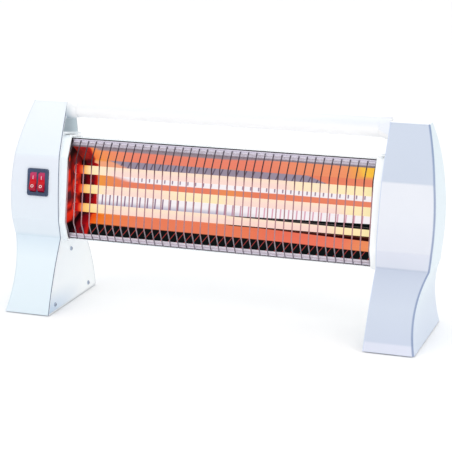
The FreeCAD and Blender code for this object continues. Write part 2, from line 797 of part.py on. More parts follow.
def switch_lean():
    """Angle by which the stand's front leans back at the switch."""
    step = 1.0
    rise = station_at(switch_z + step).front - station_at(switch_z - step).front
    return math.degrees(math.atan2(rise, 2 * step))


def on_switch(shape):
    """Shape built about the switch's seat (X across, +Y into the stand, +Z up its face), set in place."""
    lean = math.radians(switch_lean())
    front = station_at(switch_z).front
    seat = Vector(-panel_x(switch_z) - SWITCH_OUT, front + SWITCH_SINK * math.cos(lean),
                  switch_z - SWITCH_SINK * math.sin(lean))
    placed = shape.copy()
    turn = FreeCAD.Rotation(Vector(1, 0, 0), -switch_lean())
    placed.Placement = FreeCAD.Placement(seat, turn).multiply(shape.Placement)
    return placed


def switch_frame():
    """Twin switch: a bezel on the stand's front and a body with a well for each rocker."""
    corner = Vector(-BEZEL_WIDTH / 2, -BEZEL_T, -BEZEL_HEIGHT / 2)
    bezel = Part.makeBox(BEZEL_WIDTH, BEZEL_T, BEZEL_HEIGHT, corner)
    corners = [edge for edge in bezel.Edges if edge.BoundBox.YLength > BEZEL_T / 2]
    bezel = bezel.makeFillet(BEZEL_ROUND, corners)
    rim = [edge for edge in bezel.Edges if edge.BoundBox.YMax < -BEZEL_T + 1e-6]
    bezel = bezel.makeChamfer(BEZEL_T / 3, rim)
    width = switch_body_width()
    height = switch_body_height()
    body = Part.makeBox(width, SWITCH_DEPTH, height, Vector(-width / 2, 0, -height / 2))
    frame = bezel.fuse(body)
    well_w = ROCKER_WIDTH + 2 * ROCKER_GAP
    well_h = 2 * (ROCKER_RADIUS + ROCKER_GAP)
    for side in (-1, 1):
        x = side * rocker_offset() - well_w / 2
        frame = frame.cut(Part.makeBox(
            well_w, BEZEL_T + SWITCH_DEPTH - SWITCH_FLOOR, well_h, Vector(x, -BEZEL_T, -well_h / 2)))
    axle = rocker_offset() + ROCKER_WIDTH / 2 + ROCKER_PIN_REACH + ROCKER_GAP / 3
    pivot = rod(ROCKER_PIN_D + 2 * ROCKER_PIN_FIT, 2 * axle, -axle)
    pivot.translate(Vector(0, ROCKER_PIVOT, 0))
    return on_switch(frame.cut(pivot).removeSplitter())


def rocker(side):
    """One rocker at rest, tilted with its upper half pressed in, with a pivot pin at each side."""
    drum = rod(2 * ROCKER_RADIUS, ROCKER_WIDTH, -ROCKER_WIDTH / 2)
    valley = -BEZEL_T - ROCKER_CROWN - ROCKER_PIVOT
    edge = valley - ROCKER_VEE
    reach = ROCKER_RADIUS
    front = [(edge, -reach, 0), (valley, 0, 0), (edge, reach, 0)]
    profile = front + [(ROCKER_BACK, reach, 0), (ROCKER_BACK, -reach, 0)]
    shape = drum.common(prism(profile, -ROCKER_WIDTH, ROCKER_WIDTH))
    pin = ROCKER_WIDTH / 2 + ROCKER_PIN_REACH
    shape = shape.fuse(rod(ROCKER_PIN_D, 2 * pin, -pin))
    shape.rotate(Vector(0, 0, 0), Vector(1, 0, 0), -ROCKER_TILT)
    shape.translate(Vector(side * rocker_offset(), ROCKER_PIVOT, 0))
    return on_switch(shape)


def switch_terminals():
    """Flat blades on the back of the switch body."""
    blades = []
    for side in (-1, 1):
        for step in (-1, 0, 1):
            x = side * rocker_offset() - BLADE_WIDTH / 2
            corner = Vector(x, SWITCH_DEPTH, step * BLADE_PITCH - BLADE_T / 2)
            blades.append(on_switch(Part.makeBox(BLADE_WIDTH, BLADE_LENGTH, BLADE_T, corner)))
    return Part.makeCompound(blades)


def pad_places():
    """Middle of each foot pad of the right-hand stand."""
    x = panel_x(0) + FOOT_WIDTH / 2
    return [(x, -FOOT_REACH + PAD_INSET), (x, FOOT_REACH - PAD_INSET)]


def foot_pads():
    """Rubber pads of the right-hand stand, each with a stud through the shell's floor."""
    pads = []
    for x, y in pad_places():
        disc = Part.makeCylinder(PAD_D / 2, PAD_RISE, Vector(x, y, 0))
        stud = Part.makeCylinder(PAD_STUD_D / 2, PAD_RISE + SHELL_FLOOR, Vector(x, y, 0))
        pads.append(disc.fuse(stud))
    return Part.makeCompound(pads)


def plunger_place():
    """Middle of the tip-over plunger, under the left foot."""
    return -panel_x(0) - FOOT_WIDTH / 2, PLUNGER_Y


def tip_switch():
    """Tip-over switch: a box on the left shell's floor with a stepped bore for the plunger."""
    x, y = plunger_place()
    floor_z = PAD_RISE + SHELL_FLOOR
    corner = Vector(x - TIP_BOX / 2, y - TIP_BOX / 2, floor_z)
    box = Part.makeBox(TIP_BOX, TIP_BOX, TIP_BOX_HEIGHT, corner)
    guide = Part.makeCylinder(PLUNGER_D / 2 + PLUNGER_FIT, TIP_BOX_HEIGHT / 2, Vector(x, y, floor_z))
    well_start = floor_z + TIP_BOX_SOLE
    well = Part.makeCylinder(
        PLUNGER_HEAD_D / 2 + PLUNGER_FIT, TIP_BOX_HEIGHT - 2 * TIP_BOX_SOLE, Vector(x, y, well_start))
    return box.cut([guide, well])


def tip_plunger():
    """Plunger pressed up by the floor at rest, with a head that stops it dropping out."""
    x, y = plunger_place()
    head_z = PAD_RISE + SHELL_FLOOR + TIP_BOX_SOLE + PLUNGER_TRAVEL + PLUNGER_LIFT
    stem = Part.makeCylinder(PLUNGER_D / 2, head_z - PLUNGER_LIFT, Vector(x, y, PLUNGER_LIFT))
    head = Part.makeCylinder(PLUNGER_HEAD_D / 2, PLUNGER_HEAD_T, Vector(x, y, head_z))
    tip = [edge for edge in stem.Edges if edge.BoundBox.ZMax < PLUNGER_LIFT + 1e-6]
    return stem.makeFillet(PLUNGER_D / 6, tip).fuse(head).removeSplitter()


def well_floor(step):
    """Middle of the floor of one of the terminal block's wells."""
    x = -panel_x(block_z) - COVER_T - BLOCK_DEPTH / 2
    return Vector(x, step * BLOCK_LENGTH / 3, block_z + BLOCK_HEIGHT / 2)


def terminal_block():
    """Block on the left inner cover that joins the cord to the leads, with a well for each."""
    x = -panel_x(block_z) - COVER_T - BLOCK_DEPTH
    block = Part.makeBox(BLOCK_DEPTH, BLOCK_LENGTH, BLOCK_HEIGHT, Vector(x, -BLOCK_LENGTH / 2, block_z))
    wells = []
    for step in (-1, 0, 1):
        wells.append(Part.makeCylinder(BLOCK_WELL_D / 2, BLOCK_DEPTH, well_floor(step), Vector(-1, 0, 0)))
    return block.cut(wells).cut(mirrored(slab(-FAR, COVER_T)))


def lead(points):
    """Sleeved lead: straight runs between the points, with a bend at each one between the ends."""
    path = rounded_path(points, [LEAD_BEND] * len(points), False)
    ring = Part.Wire([Part.makeCircle(LEAD_D / 2, points[0], points[1] - points[0])])
    return path.makePipeShell([ring], True, False)


def blade_end(side, step, run=0.0):
    """Point beyond the tip of one switch blade, the run being measured along Y."""
    along = run / math.cos(math.radians(switch_lean()))
    tip = Part.Vertex(side * rocker_offset(), SWITCH_DEPTH + BLADE_LENGTH + along, step * BLADE_PITCH)
    return on_switch(tip).Point


def coil_leads():
    """Leads from the switch's blades to the left-hand pins of the three coils."""
    pin_end = -plate_end - CAP_LENGTH - PIN_REACH
    leads = []
    for (side, step), (y, z) in zip(((1, 1), (-1, 0), (1, -1)), tube_centres()):
        tip = blade_end(side, step)
        turn = blade_end(side, step, max(y - tip.y, COIL_LEAD_RUN))
        leads.append(lead([tip, turn, Vector(tip.x, y, z), Vector(pin_end, y, z)]))
    return Part.makeCompound(leads)


def supply_leads():
    """Leads from the terminal block to one blade of each half of the switch."""
    leads = []
    for side, step, well in ((1, 0, -1), (-1, 1, 0)):
        start = well_floor(well)
        tip = blade_end(side, step)
        turn = blade_end(side, step, SUPPLY_LEAD_RUN)
        below = Vector(tip.x, start.y, start.z)
        behind = Vector(tip.x, turn.y, start.z + SUPPLY_LEAD_RISE)
        leads.append(lead([start, below, behind, turn, tip]))
    return Part.makeCompound(leads)


def return_lead():
    """Lead from the terminal block, along the head behind the reflector, to the bus bar."""
    y, z = return_place()
    start = well_floor(1)
    middle, lower = tube_centres()[1:]
    end_y = (middle[0] + lower[0]) / 2
    end_z = (middle[1] + lower[1]) / 2
    bus_face = plate_end + CAP_LENGTH + BUS_T
    left = -panel_x(switch_z) - SWITCH_OUT
    right = bus_face + 2 * PIN_REACH
    return lead([
        start, Vector(left, start.y, start.z), Vector(left, y, z), Vector(right, y, z),
        Vector(right, end_y, end_z), Vector(bus_face, end_y, end_z)])


def on_back(shape):
    """Shape built along +X from the origin, turned to point out of the left stand's back."""
    station = station_at(grommet_z)
    step = 1.0
    rise = station_at(grommet_z + step).back - station_at(grommet_z - step).back
    tilt = math.degrees(math.atan2(rise, 2 * step))
    seat = Vector(-panel_x(grommet_z) - width_at(grommet_z) / 2, station.back, grommet_z)
    turn = FreeCAD.Rotation(Vector(1, 0, 0), -tilt).multiply(FreeCAD.Rotation(Vector(0, 0, 1), 90))
    placed = shape.copy()
    placed.Placement = FreeCAD.Placement(seat, turn)
    return placed


def cord_grommet():
    """Cord inlet: a grommet through the left stand's back wall, with a flange on each side of it."""
    flange_d = GROMMET_D + 2 * GROMMET_FLANGE
    outside = rod(flange_d, GROMMET_FLANGE_T, SEAT_GAP)
    inside = rod(flange_d, GROMMET_FLANGE_T, -SHELL_WALL - SEAT_GAP - GROMMET_FLANGE_T)
    neck = rod(GROMMET_D, SHELL_WALL + 2 * SEAT_GAP, -SHELL_WALL - SEAT_GAP)
    grommet = outside.fuse([neck, inside]).cut(rod(GROMMET_BORE, FAR, -FAR / 2))
    return on_back(grommet.removeSplitter())


def pieces():
    """Every piece of the heater, by name."""
    made = {}
    shell = stand_shell()
    made["right_stand_shell"] = shell
    made["left_stand_shell"] = left_shell()
    handle_y, handle_height = handle_place()
    handle_screw = screw_from_inside(BODY_SCREW_D, HANDLE_SCREW_LENGTH, handle_y, handle_height)
    pairs = {
        "inner_cover": inner_cover(),
        "cover_screws": cover_screws(),
        "body_screws": body_screws(),
        "handle_screw": handle_screw,
        "handle_socket": handle_socket(),
        "foot_pads": foot_pads(),
        "end_ring": end_ring(),
        "end_plate": end_plate(),
    }
    for name, centre in zip(("upper", "middle", "lower"), tube_centres()):
        made[name + "_quartz_tube"] = quartz_tube(centre)
        made[name + "_heating_coil"] = heating_coil(centre)
        pairs[name + "_ceramic_cap"] = ceramic_cap(centre)
    for name, shape in pairs.items():
        made["right_" + name] = shape
        made["left_" + name] = mirrored(shape)
    made["handle_tube"] = handle_tube()
    made["rear_housing"] = rear_housing()
    made["reflector"] = reflector()
    made["wire_guard"] = wire_guard()
    made["bus_bar"] = bus_bar()
    made["switch_frame"] = switch_frame()
    made["left_rocker"] = rocker(-1)
    made["right_rocker"] = rocker(1)
    made["switch_terminals"] = switch_terminals()
    made["tip_switch"] = tip_switch()
    made["tip_plunger"] = tip_plunger()
    made["terminal_block"] = terminal_block()
    made["coil_leads"] = coil_leads()
    made["supply_leads"] = supply_leads()
    made["return_lead"] = return_lead()
    made["cord_grommet"] = cord_grommet()
    return made


os.makedirs("parts", exist_ok=True)
for node, solid in pieces().items():
    solid.exportStep("parts/" + node + ".step")
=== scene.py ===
"""Looks of a bar heater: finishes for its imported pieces, switch marks, studio and camera.

Metres. X runs along the heater, -Y is the glowing front and +Z is up.
"""
from __future__ import annotations

import logging
import math
from abc import ABC, abstractmethod
from dataclasses import dataclass
from enum import Enum
from typing import Iterable, Mapping, NamedTuple, Union

import bmesh
import bpy
from mathutils import Matrix, Vector

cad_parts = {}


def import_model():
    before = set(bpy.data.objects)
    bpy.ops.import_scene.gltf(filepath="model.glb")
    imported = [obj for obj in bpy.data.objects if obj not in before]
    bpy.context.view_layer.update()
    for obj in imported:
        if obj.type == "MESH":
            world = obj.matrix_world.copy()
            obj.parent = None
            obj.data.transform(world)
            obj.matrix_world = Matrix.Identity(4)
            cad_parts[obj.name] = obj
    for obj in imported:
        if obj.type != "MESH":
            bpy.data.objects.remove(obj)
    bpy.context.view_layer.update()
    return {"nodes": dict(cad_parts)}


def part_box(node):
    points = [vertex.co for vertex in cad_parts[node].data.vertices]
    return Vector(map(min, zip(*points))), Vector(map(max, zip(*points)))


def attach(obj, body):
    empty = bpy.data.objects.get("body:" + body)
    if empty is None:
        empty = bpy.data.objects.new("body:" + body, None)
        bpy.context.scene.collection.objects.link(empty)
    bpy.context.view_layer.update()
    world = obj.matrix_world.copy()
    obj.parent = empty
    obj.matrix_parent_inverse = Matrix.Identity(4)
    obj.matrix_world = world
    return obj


LOG = logging.getLogger("bar_heater")
MM = 0.001

Colour = tuple[float, float, float, float]
Stops = tuple[tuple[float, Colour], ...]
Places = tuple[tuple[float, float], ...]
Socket = bpy.types.NodeSocket
Term = Union["Value", Socket, float]

# Curve between display and linear colours
BYTE_MAX = 255
CURVE_KNEE = 0.04045
CURVE_SLOPE = 12.92
CURVE_OFFSET = 0.055
CURVE_POWER = 2.4

# Sockets of a Mix node that blends colours
MIX_SHARE = 0
MIX_FIRST = 6
MIX_SECOND = 7
MIX_RESULT = 2

NOISE_MEAN = 0.5
NOISE_ROUGHNESS = 0.55


def srgb(red: int, green: int, blue: int) -> Colour:
    """Turn a display colour into the linear one that shaders take.

    Args:
        red: Red, 0 to 255.
        green: Green, 0 to 255.
        blue: Blue, 0 to 255.

    Returns:
        The linear colour with full alpha.
    """
    linear = []
    for channel in (red, green, blue):
        share = channel / BYTE_MAX
        curved = ((share + CURVE_OFFSET) / (1 + CURVE_OFFSET)) ** CURVE_POWER
        linear.append(share / CURVE_SLOPE if share <= CURVE_KNEE else curved)
    return (linear[0], linear[1], linear[2], 1.0)


def stops(*rows: tuple[float, int, int, int]) -> Stops:
    """Turn rows of a place and a display colour into the stops of a ramp.

    Args:
        rows: Place, red, green and blue of each stop, from low to high.

    Returns:
        Place and linear colour of each stop.
    """
    return tuple((place, srgb(red, green, blue)) for place, red, green, blue in rows)


class Step(NamedTuple):
    """A smooth step from 0 to 1: where it starts and where it ends."""

    start: float
    end: float


class Band(NamedTuple):
    """A stretch between two limits, and the width of the soft end centred on each."""

    low: float
    high: float
    soft: float


class Lines(NamedTuple):
    """Even lines: their pitch, the place of one, its width and the width of each soft edge."""

    pitch: float
    offset: float
    width: float
    soft: float


class Clouds(NamedTuple):
    """Cloudy variation: clouds to the metre, octaves of finer clouds, and the scale of each axis."""

    scale: float
    detail: float
    stretch: tuple[float, float, float] = (1.0, 1.0, 1.0)


class Facing(NamedTuple):
    """The surface's outward direction, by axis."""

    across: Value
    deep: Value
    up: Value


class Value:
    """A number in a shader: Python operators on it add Math nodes."""

    def __init__(self, graph: Graph, socket: Socket) -> None:
        """Wrap an output socket of a graph."""
        self.graph = graph
        self.socket = socket

    def _math(self, operation: str, *terms: Term) -> Value:
        """Add one Math node.

        Args:
            operation: The node's operation.
            terms: Its inputs, in order.

        Returns:
            The node's result.
        """
        made = self.graph.node("ShaderNodeMath", {"operation": operation}, dict(enumerate(terms)))
        return Value(self.graph, made.outputs[0])

    def __add__(self, other: Term) -> Value:
        """Sum."""
        return self._math("ADD", self, other)

    def __sub__(self, other: Term) -> Value:
        """Difference."""
        return self._math("SUBTRACT", self, other)

    def __rsub__(self, other: Term) -> Value:
        """Difference from a number."""
        return self._math("SUBTRACT", other, self)

    def __neg__(self) -> Value:
        """Opposite."""
        return 0.0 - self

    def __mul__(self, other: Term) -> Value:
        """Product."""
        return self._math("MULTIPLY", self, other)

    def __truediv__(self, other: Term) -> Value:
        """Quotient."""
        return self._math("DIVIDE", self, other)

    def __abs__(self) -> Value:
        """Size without sign."""
        return self._math("ABSOLUTE", self)

    def fraction(self) -> Value:
        """Part after the point, for patterns that repeat."""
        return self._math("FRACT", self)

    def root(self) -> Value:
        """Square root."""
        return self._math("SQRT", self)

    def smallest(self, other: Term) -> Value:
        """The lower of two numbers."""
        return self._math("MINIMUM", self, other)

    def largest(self, other: Term) -> Value:
        """The higher of two numbers."""
        return self._math("MAXIMUM", self, other)


class Graph:
    """The node tree of one material, with a Principled shader at its end."""

    def __init__(self, name: str) -> None:
        """Make the material and its shader.

        Args:
            name: The material's name.
        """
        self.material = bpy.data.materials.new(name)
        self.material.use_nodes = True
        self.tree = self.material.node_tree
        self.tree.nodes.clear()
        self.shader = self.node("ShaderNodeBsdfPrincipled")
        self.node("ShaderNodeOutputMaterial", inputs={"Surface": self.shader.outputs[0]})
        self.place = self.node("ShaderNodeTexCoord").outputs["Object"]
        axes = self.node("ShaderNodeSeparateXYZ", inputs={0: self.place})
        self.x, self.y, self.z = (Value(self, socket) for socket in axes.outputs)

    def node(self, kind: str, settings: Mapping[str, object] | None = None,
             inputs: Mapping[Union[str, int], object] | None = None) -> bpy.types.Node:
        """Add any node.

        Args:
            kind: The node's type.
            settings: Its properties, set first.
            inputs: Values or links of its sockets, by name or index.

        Returns:
            The new node.
        """
        made = self.tree.nodes.new(kind)
        for key, setting in (settings or {}).items():
            setattr(made, key, setting)
        for key, term in (inputs or {}).items():
            self._feed(made.inputs[key], term)
        return made

    def _feed(self, target: Socket, term: object) -> None:
        """Give an input socket a link or a value.

        Args:
            target: The input socket.
            term: What it takes.
        """
        if isinstance(term, Value):
            self.tree.links.new(term.socket, target)
        elif isinstance(term, Socket):
            self.tree.links.new(term, target)
        else:
            target.default_value = term

    def facing(self) -> Facing:
        """The surface's outward direction.

        Returns:
            The direction, by axis.
        """
        outward = self.node("ShaderNodeNewGeometry").outputs["Normal"]
        axes = self.node("ShaderNodeSeparateXYZ", inputs={0: outward})
        return Facing(*(Value(self, socket) for socket in axes.outputs))

    def rise(self, value: Value, step: Step) -> Value:
        """Smooth step from 0 to 1.

        Args:
            value: The number that is stepped.
            step: Where the step starts and ends.

        Returns:
            The step.
        """
        made = self.node("ShaderNodeMapRange", {"interpolation_type": "SMOOTHSTEP"}, {
            "Value": value, "From Min": step.start, "From Max": step.end, "To Min": 0.0, "To Max": 1.0})
        return Value(self, made.outputs[0])

    def between(self, value: Value, band: Band) -> Value:
        """Mask of a stretch with soft ends.

        Args:
            value: The number that is tested.
            band: The stretch.

        Returns:
            1 inside the stretch and 0 outside.
        """
        half = band.soft / 2
        above = self.rise(value, Step(band.low - half, band.low + half))
        return above * (1 - self.rise(value, Step(band.high - half, band.high + half)))

    def lines(self, value: Value, lines: Lines) -> Value:
        """Mask of even lines.

        Args:
            value: The number along which the lines repeat.
            lines: The lines, in the number's unit.

        Returns:
            1 on a line and 0 between lines.
        """
        away = abs(((value - lines.offset) / lines.pitch + 0.5).fraction() - 0.5)
        half = lines.width / 2 / lines.pitch
        return 1 - self.rise(away, Step(half, half + lines.soft / lines.pitch))

    def noise(self, clouds: Clouds) -> Value:
        """Cloudy variation.

        Args:
            clouds: Its scale and detail.

        Returns:
            A number about NOISE_MEAN.
        """
        place = self.node("ShaderNodeMapping", inputs={"Vector": self.place, "Scale": clouds.stretch})
        made = self.node("ShaderNodeTexNoise", inputs={
            "Vector": place.outputs[0], "Scale": clouds.scale, "Detail": clouds.detail,
            "Roughness": NOISE_ROUGHNESS})
        return Value(self, made.outputs[0])

    def mix(self, share: Term, first: object, second: object) -> Socket:
        """Blend two colours.

        Args:
            share: How much of the second.
            first: A colour or a colour socket.
            second: A colour or a colour socket.

        Returns:
            The blended colour.
        """
        made = self.node("ShaderNodeMix", {"data_type": "RGBA"},
                         {MIX_SHARE: share, MIX_FIRST: first, MIX_SECOND: second})
        return made.outputs[MIX_RESULT]

    def ramp(self, value: Value, tones: Stops) -> Socket:
        """Colour that follows a number.

        Args:
            value: The number, in the stops' own unit.
            tones: Place and colour of each stop, from low to high.

        Returns:
            The colour.
        """
        low = tones[0][0]
        span = tones[-1][0] - low
        made = self.node("ShaderNodeValToRGB", inputs={0: (value - low) / span})
        elements = made.color_ramp.elements
        while len(elements) < len(tones):
            elements.new(1.0)
        for element, (place, colour) in zip(elements, tones):
            element.position = (place - low) / span
            element.color = colour
        return made.outputs[0]

    def bump(self, height: Value, depth: float, strength: float) -> Socket:
        """Surface relief.

        Args:
            height: Relief, 0 to 1.
            depth: Height of the relief in metres.
            strength: Share of the relief that shows.

        Returns:
            The bumped normal.
        """
        made = self.node("ShaderNodeBump", inputs={
            "Height": height, "Distance": depth, "Strength": strength})
        return made.outputs[0]

    def surface(self, **sockets: object) -> bpy.types.Material:
        """Set the shader's sockets.

        Args:
            sockets: Values or links, by socket name with underscores for spaces.

        Returns:
            The finished material.
        """
        for key, term in sockets.items():
            self._feed(self.shader.inputs[key.replace("_", " ").title().replace("Ior", "IOR")], term)
        return self.material


def nearest_axis(graph: Graph, axes: Places) -> Value:
    """Distance from the nearest of some axes along X.

    Args:
        graph: The material's graph.
        axes: Depth and height of each axis, in metres.

    Returns:
        The distance in metres.
    """
    nearest: Value | None = None
    for y, z in axes:
        run = graph.y - y
        climb = graph.z - z
        away = (run * run + climb * climb).root()
        nearest = away if nearest is None else nearest.smallest(away)
    return nearest


class Side(Enum):
    """Which end of the heater a piece is at, as the sign of its X."""

    LEFT = -1
    RIGHT = 1


@dataclass(frozen=True)
class MouldedPlastic(ABC):
    """Semi-gloss moulded plastic with a fine grain; places on it are in millimetres."""

    name: str
    colour: Colour
    shade: Colour
    clouds: Clouds = Clouds(14.0, 3.0)
    cloud_step: Step = Step(0.35, 0.75)
    cloud_share: float = 0.12
    grain: Clouds = Clouds(900.0, 3.0)
    grain_depth: float = 0.04 * MM
    grain_strength: float = 0.35
    rough: float = 0.26
    rough_drift: float = 0.12
    specular: float = 0.35

    @abstractmethod
    def tone(self, graph: Graph) -> Socket:
        """Colour before the clouds of shade.

        Args:
            graph: The material's graph.

        Returns:
            The colour.
        """

    def material(self) -> bpy.types.Material:
        """Build the material.

        Returns:
            The material.
        """
        graph = Graph(self.name)
        cloud = graph.rise(graph.noise(self.clouds), self.cloud_step)
        grain = graph.noise(self.grain)
        return graph.surface(
            base_color=graph.mix(cloud * self.cloud_share, self.tone(graph), self.shade),
            roughness=grain * self.rough_drift + self.rough, specular_ior_level=self.specular,
            normal=graph.bump(grain, self.grain_depth, self.grain_strength))


@dataclass(frozen=True)
class StandPlastic(MouldedPlastic):
    """Plastic of a stand's shell: front in painted shade stepped by height, painted shade on the outer edge
    and at the seam to the cover, painted light on inward and upward faces.
    """

    side: Side = Side.LEFT
    # Painted shade and light: the front's colour stops by height, darker and lighter bands for how light
    # falls on it.
    front: Stops = ()
    front_facing: Step = Step(0.25, 0.7)
    # Painted shade: the flank turns bluish towards the foot.
    low_flank_shade: Colour = srgb(226, 237, 250)
    flank_rise: Step = Step(15.0, 85.0)
    # Painted shade along the rounded edge between the front and the outer flank.
    edge: Colour = srgb(112, 132, 172)
    edge_strength: float = 0.8
    edge_outward: Band = Band(0.34, 0.9, 0.34)
    edge_forward: Step = Step(0.2, 0.5)
    # Painted light: faces turned inward or upward are whitened.
    rim: Colour = srgb(252, 254, 255)
    rim_inward: Step = Step(0.9, 0.98)
    rim_upward: Step = Step(0.7, 0.95)
    # Painted shade: a dark line on the front beside the gap to the inner cover.
    seam_shade: Colour = srgb(70, 88, 122)
    seam_place: float = 184.74
    seam_lean: float = 0.0234
    seam_step: Step = Step(0.7, 1.2)

    def tone(self, graph: Graph) -> Socket:
        """Colour of each face, as painted light and shade: front stepped by height, flank bluish at the
        foot, edge between, whitened rim, seam by the cover.

        Args:
            graph: The material's graph.

        Returns:
            The colour.
        """
        facing = graph.facing()
        x, z = graph.x / MM, graph.z / MM
        outward = facing.across * self.side.value
        forward = graph.rise(-facing.deep, self.front_facing)
        # Painted shade: the flank bluish low down, the front in bands by height.
        flank = graph.mix(graph.rise(z, self.flank_rise), self.low_flank_shade, self.colour)
        colour = graph.mix(forward, flank, graph.ramp(z, self.front))
        # Painted shade along the outer edge.
        corner = graph.between(outward, self.edge_outward) * graph.rise(-facing.deep, self.edge_forward)
        colour = graph.mix(corner * self.edge_strength, colour, self.edge)
        # Painted light on inward and upward faces.
        rim = graph.rise(-outward, self.rim_inward).largest(graph.rise(facing.up, self.rim_upward))
        colour = graph.mix(rim, colour, self.rim)
        # Painted shade in a line beside the cover.
        from_cover = abs(x) - z * self.seam_lean - self.seam_place
        seam_shade = 1 - graph.rise(from_cover, self.seam_step)
        return graph.mix(seam_shade * forward, colour, self.seam_shade)


@dataclass(frozen=True)
class CoverPlastic(MouldedPlastic):
    """Plastic of an inner cover: painted bluish shade towards its lower front corner, and painted shade
    under the handle.
    """

    # Painted shade: bluish towards the lower front corner, less so higher up.
    blue: Colour = srgb(186, 207, 229)
    front_edge: float = 62.0
    front_lean: float = 0.48
    blue_reach: float = 86.0
    blue_rise: Step = Step(0.0, 32.0)
    blue_loss: float = 0.82
    # Painted shade under the handle, darker at the front than at the rear.
    gloom: Colour = srgb(120, 141, 153)
    gloom_rear: Colour = srgb(176, 194, 202)
    gloom_run: Step = Step(5.0, 36.0)
    gloom_band: Band = Band(203.0, 219.0, 3.0)
    gloom_lean: float = 0.18
    gloom_share: float = 0.9

    def tone(self, graph: Graph) -> Socket:
        """Colour of the panel by place, with its painted shade.

        Args:
            graph: The material's graph.

        Returns:
            The colour.
        """
        y, z = graph.y / MM, graph.z / MM
        # Painted bluish shade near the lower front corner.
        behind = y + self.front_edge - z * self.front_lean
        near = (1 - behind / self.blue_reach).largest(0.0).smallest(1.0)
        low = 1 - graph.rise(z, self.blue_rise) * self.blue_loss
        colour = graph.mix(near * low, self.colour, self.blue)
        # Painted shade in a band under the handle.
        shaded = graph.between(z + y * self.gloom_lean, self.gloom_band)
        gloom = graph.mix(graph.rise(y, self.gloom_run), self.gloom, self.gloom_rear)
        return graph.mix(shaded * self.gloom_share, colour, gloom)


@dataclass(frozen=True)
class GripPlastic(MouldedPlastic):
    """Plastic of the handle: faintly bluish painted shade on its crest, more so behind and towards the
    right-hand end.
    """

    # Painted shade: a bluish crest, bluer towards the right-hand end.
    crest: Colour = srgb(242, 244, 247)
    far_crest: Colour = srgb(233, 237, 245)
    far_run: Step = Step(60.0, 180.0)
    crest_upward: Step = Step(-0.15, 0.6)
    # Painted shade on the faces that look back.
    rear: Colour = srgb(226, 234, 242)
    rear_backward: Step = Step(0.25, 0.95)

    def tone(self, graph: Graph) -> Socket:
        """Colour of the grip by the way it faces and by length, in painted shade.

        Args:
            graph: The material's graph.

        Returns:
            The colour.
        """
        facing = graph.facing()
        # Painted shade on the crest and on the back.
        crest = graph.mix(graph.rise(graph.x / MM, self.far_run), self.crest, self.far_crest)
        colour = graph.mix(graph.rise(facing.up, self.crest_upward), self.colour, crest)
        return graph.mix(graph.rise(facing.deep, self.rear_backward), colour, self.rear)


@dataclass(frozen=True)
class SocketPlastic(MouldedPlastic):
    """Plastic of the handle's sockets: painted bluish shade on the crest on the right, painted shade low
    beside the left stand.
    """

    right_run: Step = Step(-50.0, 50.0)
    # Painted shade on the right socket's crest.
    crest: Colour = srgb(233, 237, 245)
    crest_upward: Step = Step(-0.3, 0.3)
    # Painted shade low on the left socket, darkest beside the stand.
    gloom: Colour = srgb(168, 184, 196)
    gloom_rise: Step = Step(218.0, 240.0)
    gloom_run: Step = Step(180.0, 190.0)
    gloom_least: float = 0.25

    def tone(self, graph: Graph) -> Socket:
        """Colour of a socket by end, place and the way it faces, in painted shade.

        Args:
            graph: The material's graph.

        Returns:
            The colour.
        """
        x, z = graph.x / MM, graph.z / MM
        right = graph.rise(x, self.right_run)
        # Painted bluish shade on the right socket's crest.
        crest = graph.rise(graph.facing().up, self.crest_upward) * right
        colour = graph.mix(crest, self.colour, self.crest)
        # Painted shade low on the left socket, beside the stand.
        low = 1 - graph.rise(z, self.gloom_rise)
        beside = graph.rise(abs(x), self.gloom_run) * (1 - self.gloom_least) + self.gloom_least
        return graph.mix((1 - right) * low * beside, colour, self.gloom)


@dataclass(frozen=True)
class Enamel:
    """Baked enamel on sheet steel, with a faint orange-peel surface: painted shade on faces that look back,
    and a cool painted shade at its left front.
    """

    name: str
    colour: Colour
    warm: Colour
    # Painted shade on the faces that look back.
    back: Colour
    # Painted shade, cool and bluish, on the forward faces at the left.
    cool_painted_shade: Colour
    clouds: Clouds = Clouds(9.0, 3.0)
    cloud_step: Step = Step(0.4, 0.75)
    warm_share: float = 0.4
    back_facing: Step = Step(0.3, 0.9)
    front_facing: Step = Step(0.1, 0.6)
    right_run: Step = Step(-50.0, 50.0)
    peel: Clouds = Clouds(420.0, 2.0)
    peel_depth: float = 0.05 * MM
    peel_strength: float = 0.3
    rough: float = 0.22
    rough_drift: float = 0.08
    coat: float = 0.3
    coat_rough: float = 0.12

    def material(self) -> bpy.types.Material:
        """Build the material.

        Returns:
            The material.
        """
        graph = Graph(self.name)
        peel = graph.noise(self.peel)
        cloud = graph.rise(graph.noise(self.clouds), self.cloud_step)
        deep = graph.facing().deep
        colour = graph.mix(cloud * self.warm_share, self.colour, self.warm)
        # Painted shade on back faces, and a cool painted shade on the left front.
        colour = graph.mix(graph.rise(deep, self.back_facing), colour, self.back)
        left = 1 - graph.rise(graph.x / MM, self.right_run)
        colour = graph.mix(graph.rise(-deep, self.front_facing) * left, colour, self.cool_painted_shade)
        return graph.surface(
            base_color=colour, roughness=cloud * self.rough_drift + self.rough,
            normal=graph.bump(peel, self.peel_depth, self.peel_strength),
            coat_weight=self.coat, coat_roughness=self.coat_rough)


# Heights of the reflector's folds and the width of a painted fold's soft edge, in millimetres
UPPER_FLANGE = 185.5
UPPER_FOLD = 166.7
LOWER_FOLD = 103.9
TROUGH_FOLD = 97.2
LOWER_FLANGE = 88.5
TROUGH_EDGE = 86.9
FOLD_SOFT = 0.4

BLACK: Colour = (0.0, 0.0, 0.0, 1.0)
# Near black: painted shade and painted dark reflections on the reflector and tubes, and the brushing
# strokes.
NEAR_BLACK = srgb(4, 12, 14)
# Mauve of the painted shade under the reflector's upper flange.
MAUVE = srgb(150, 136, 146)


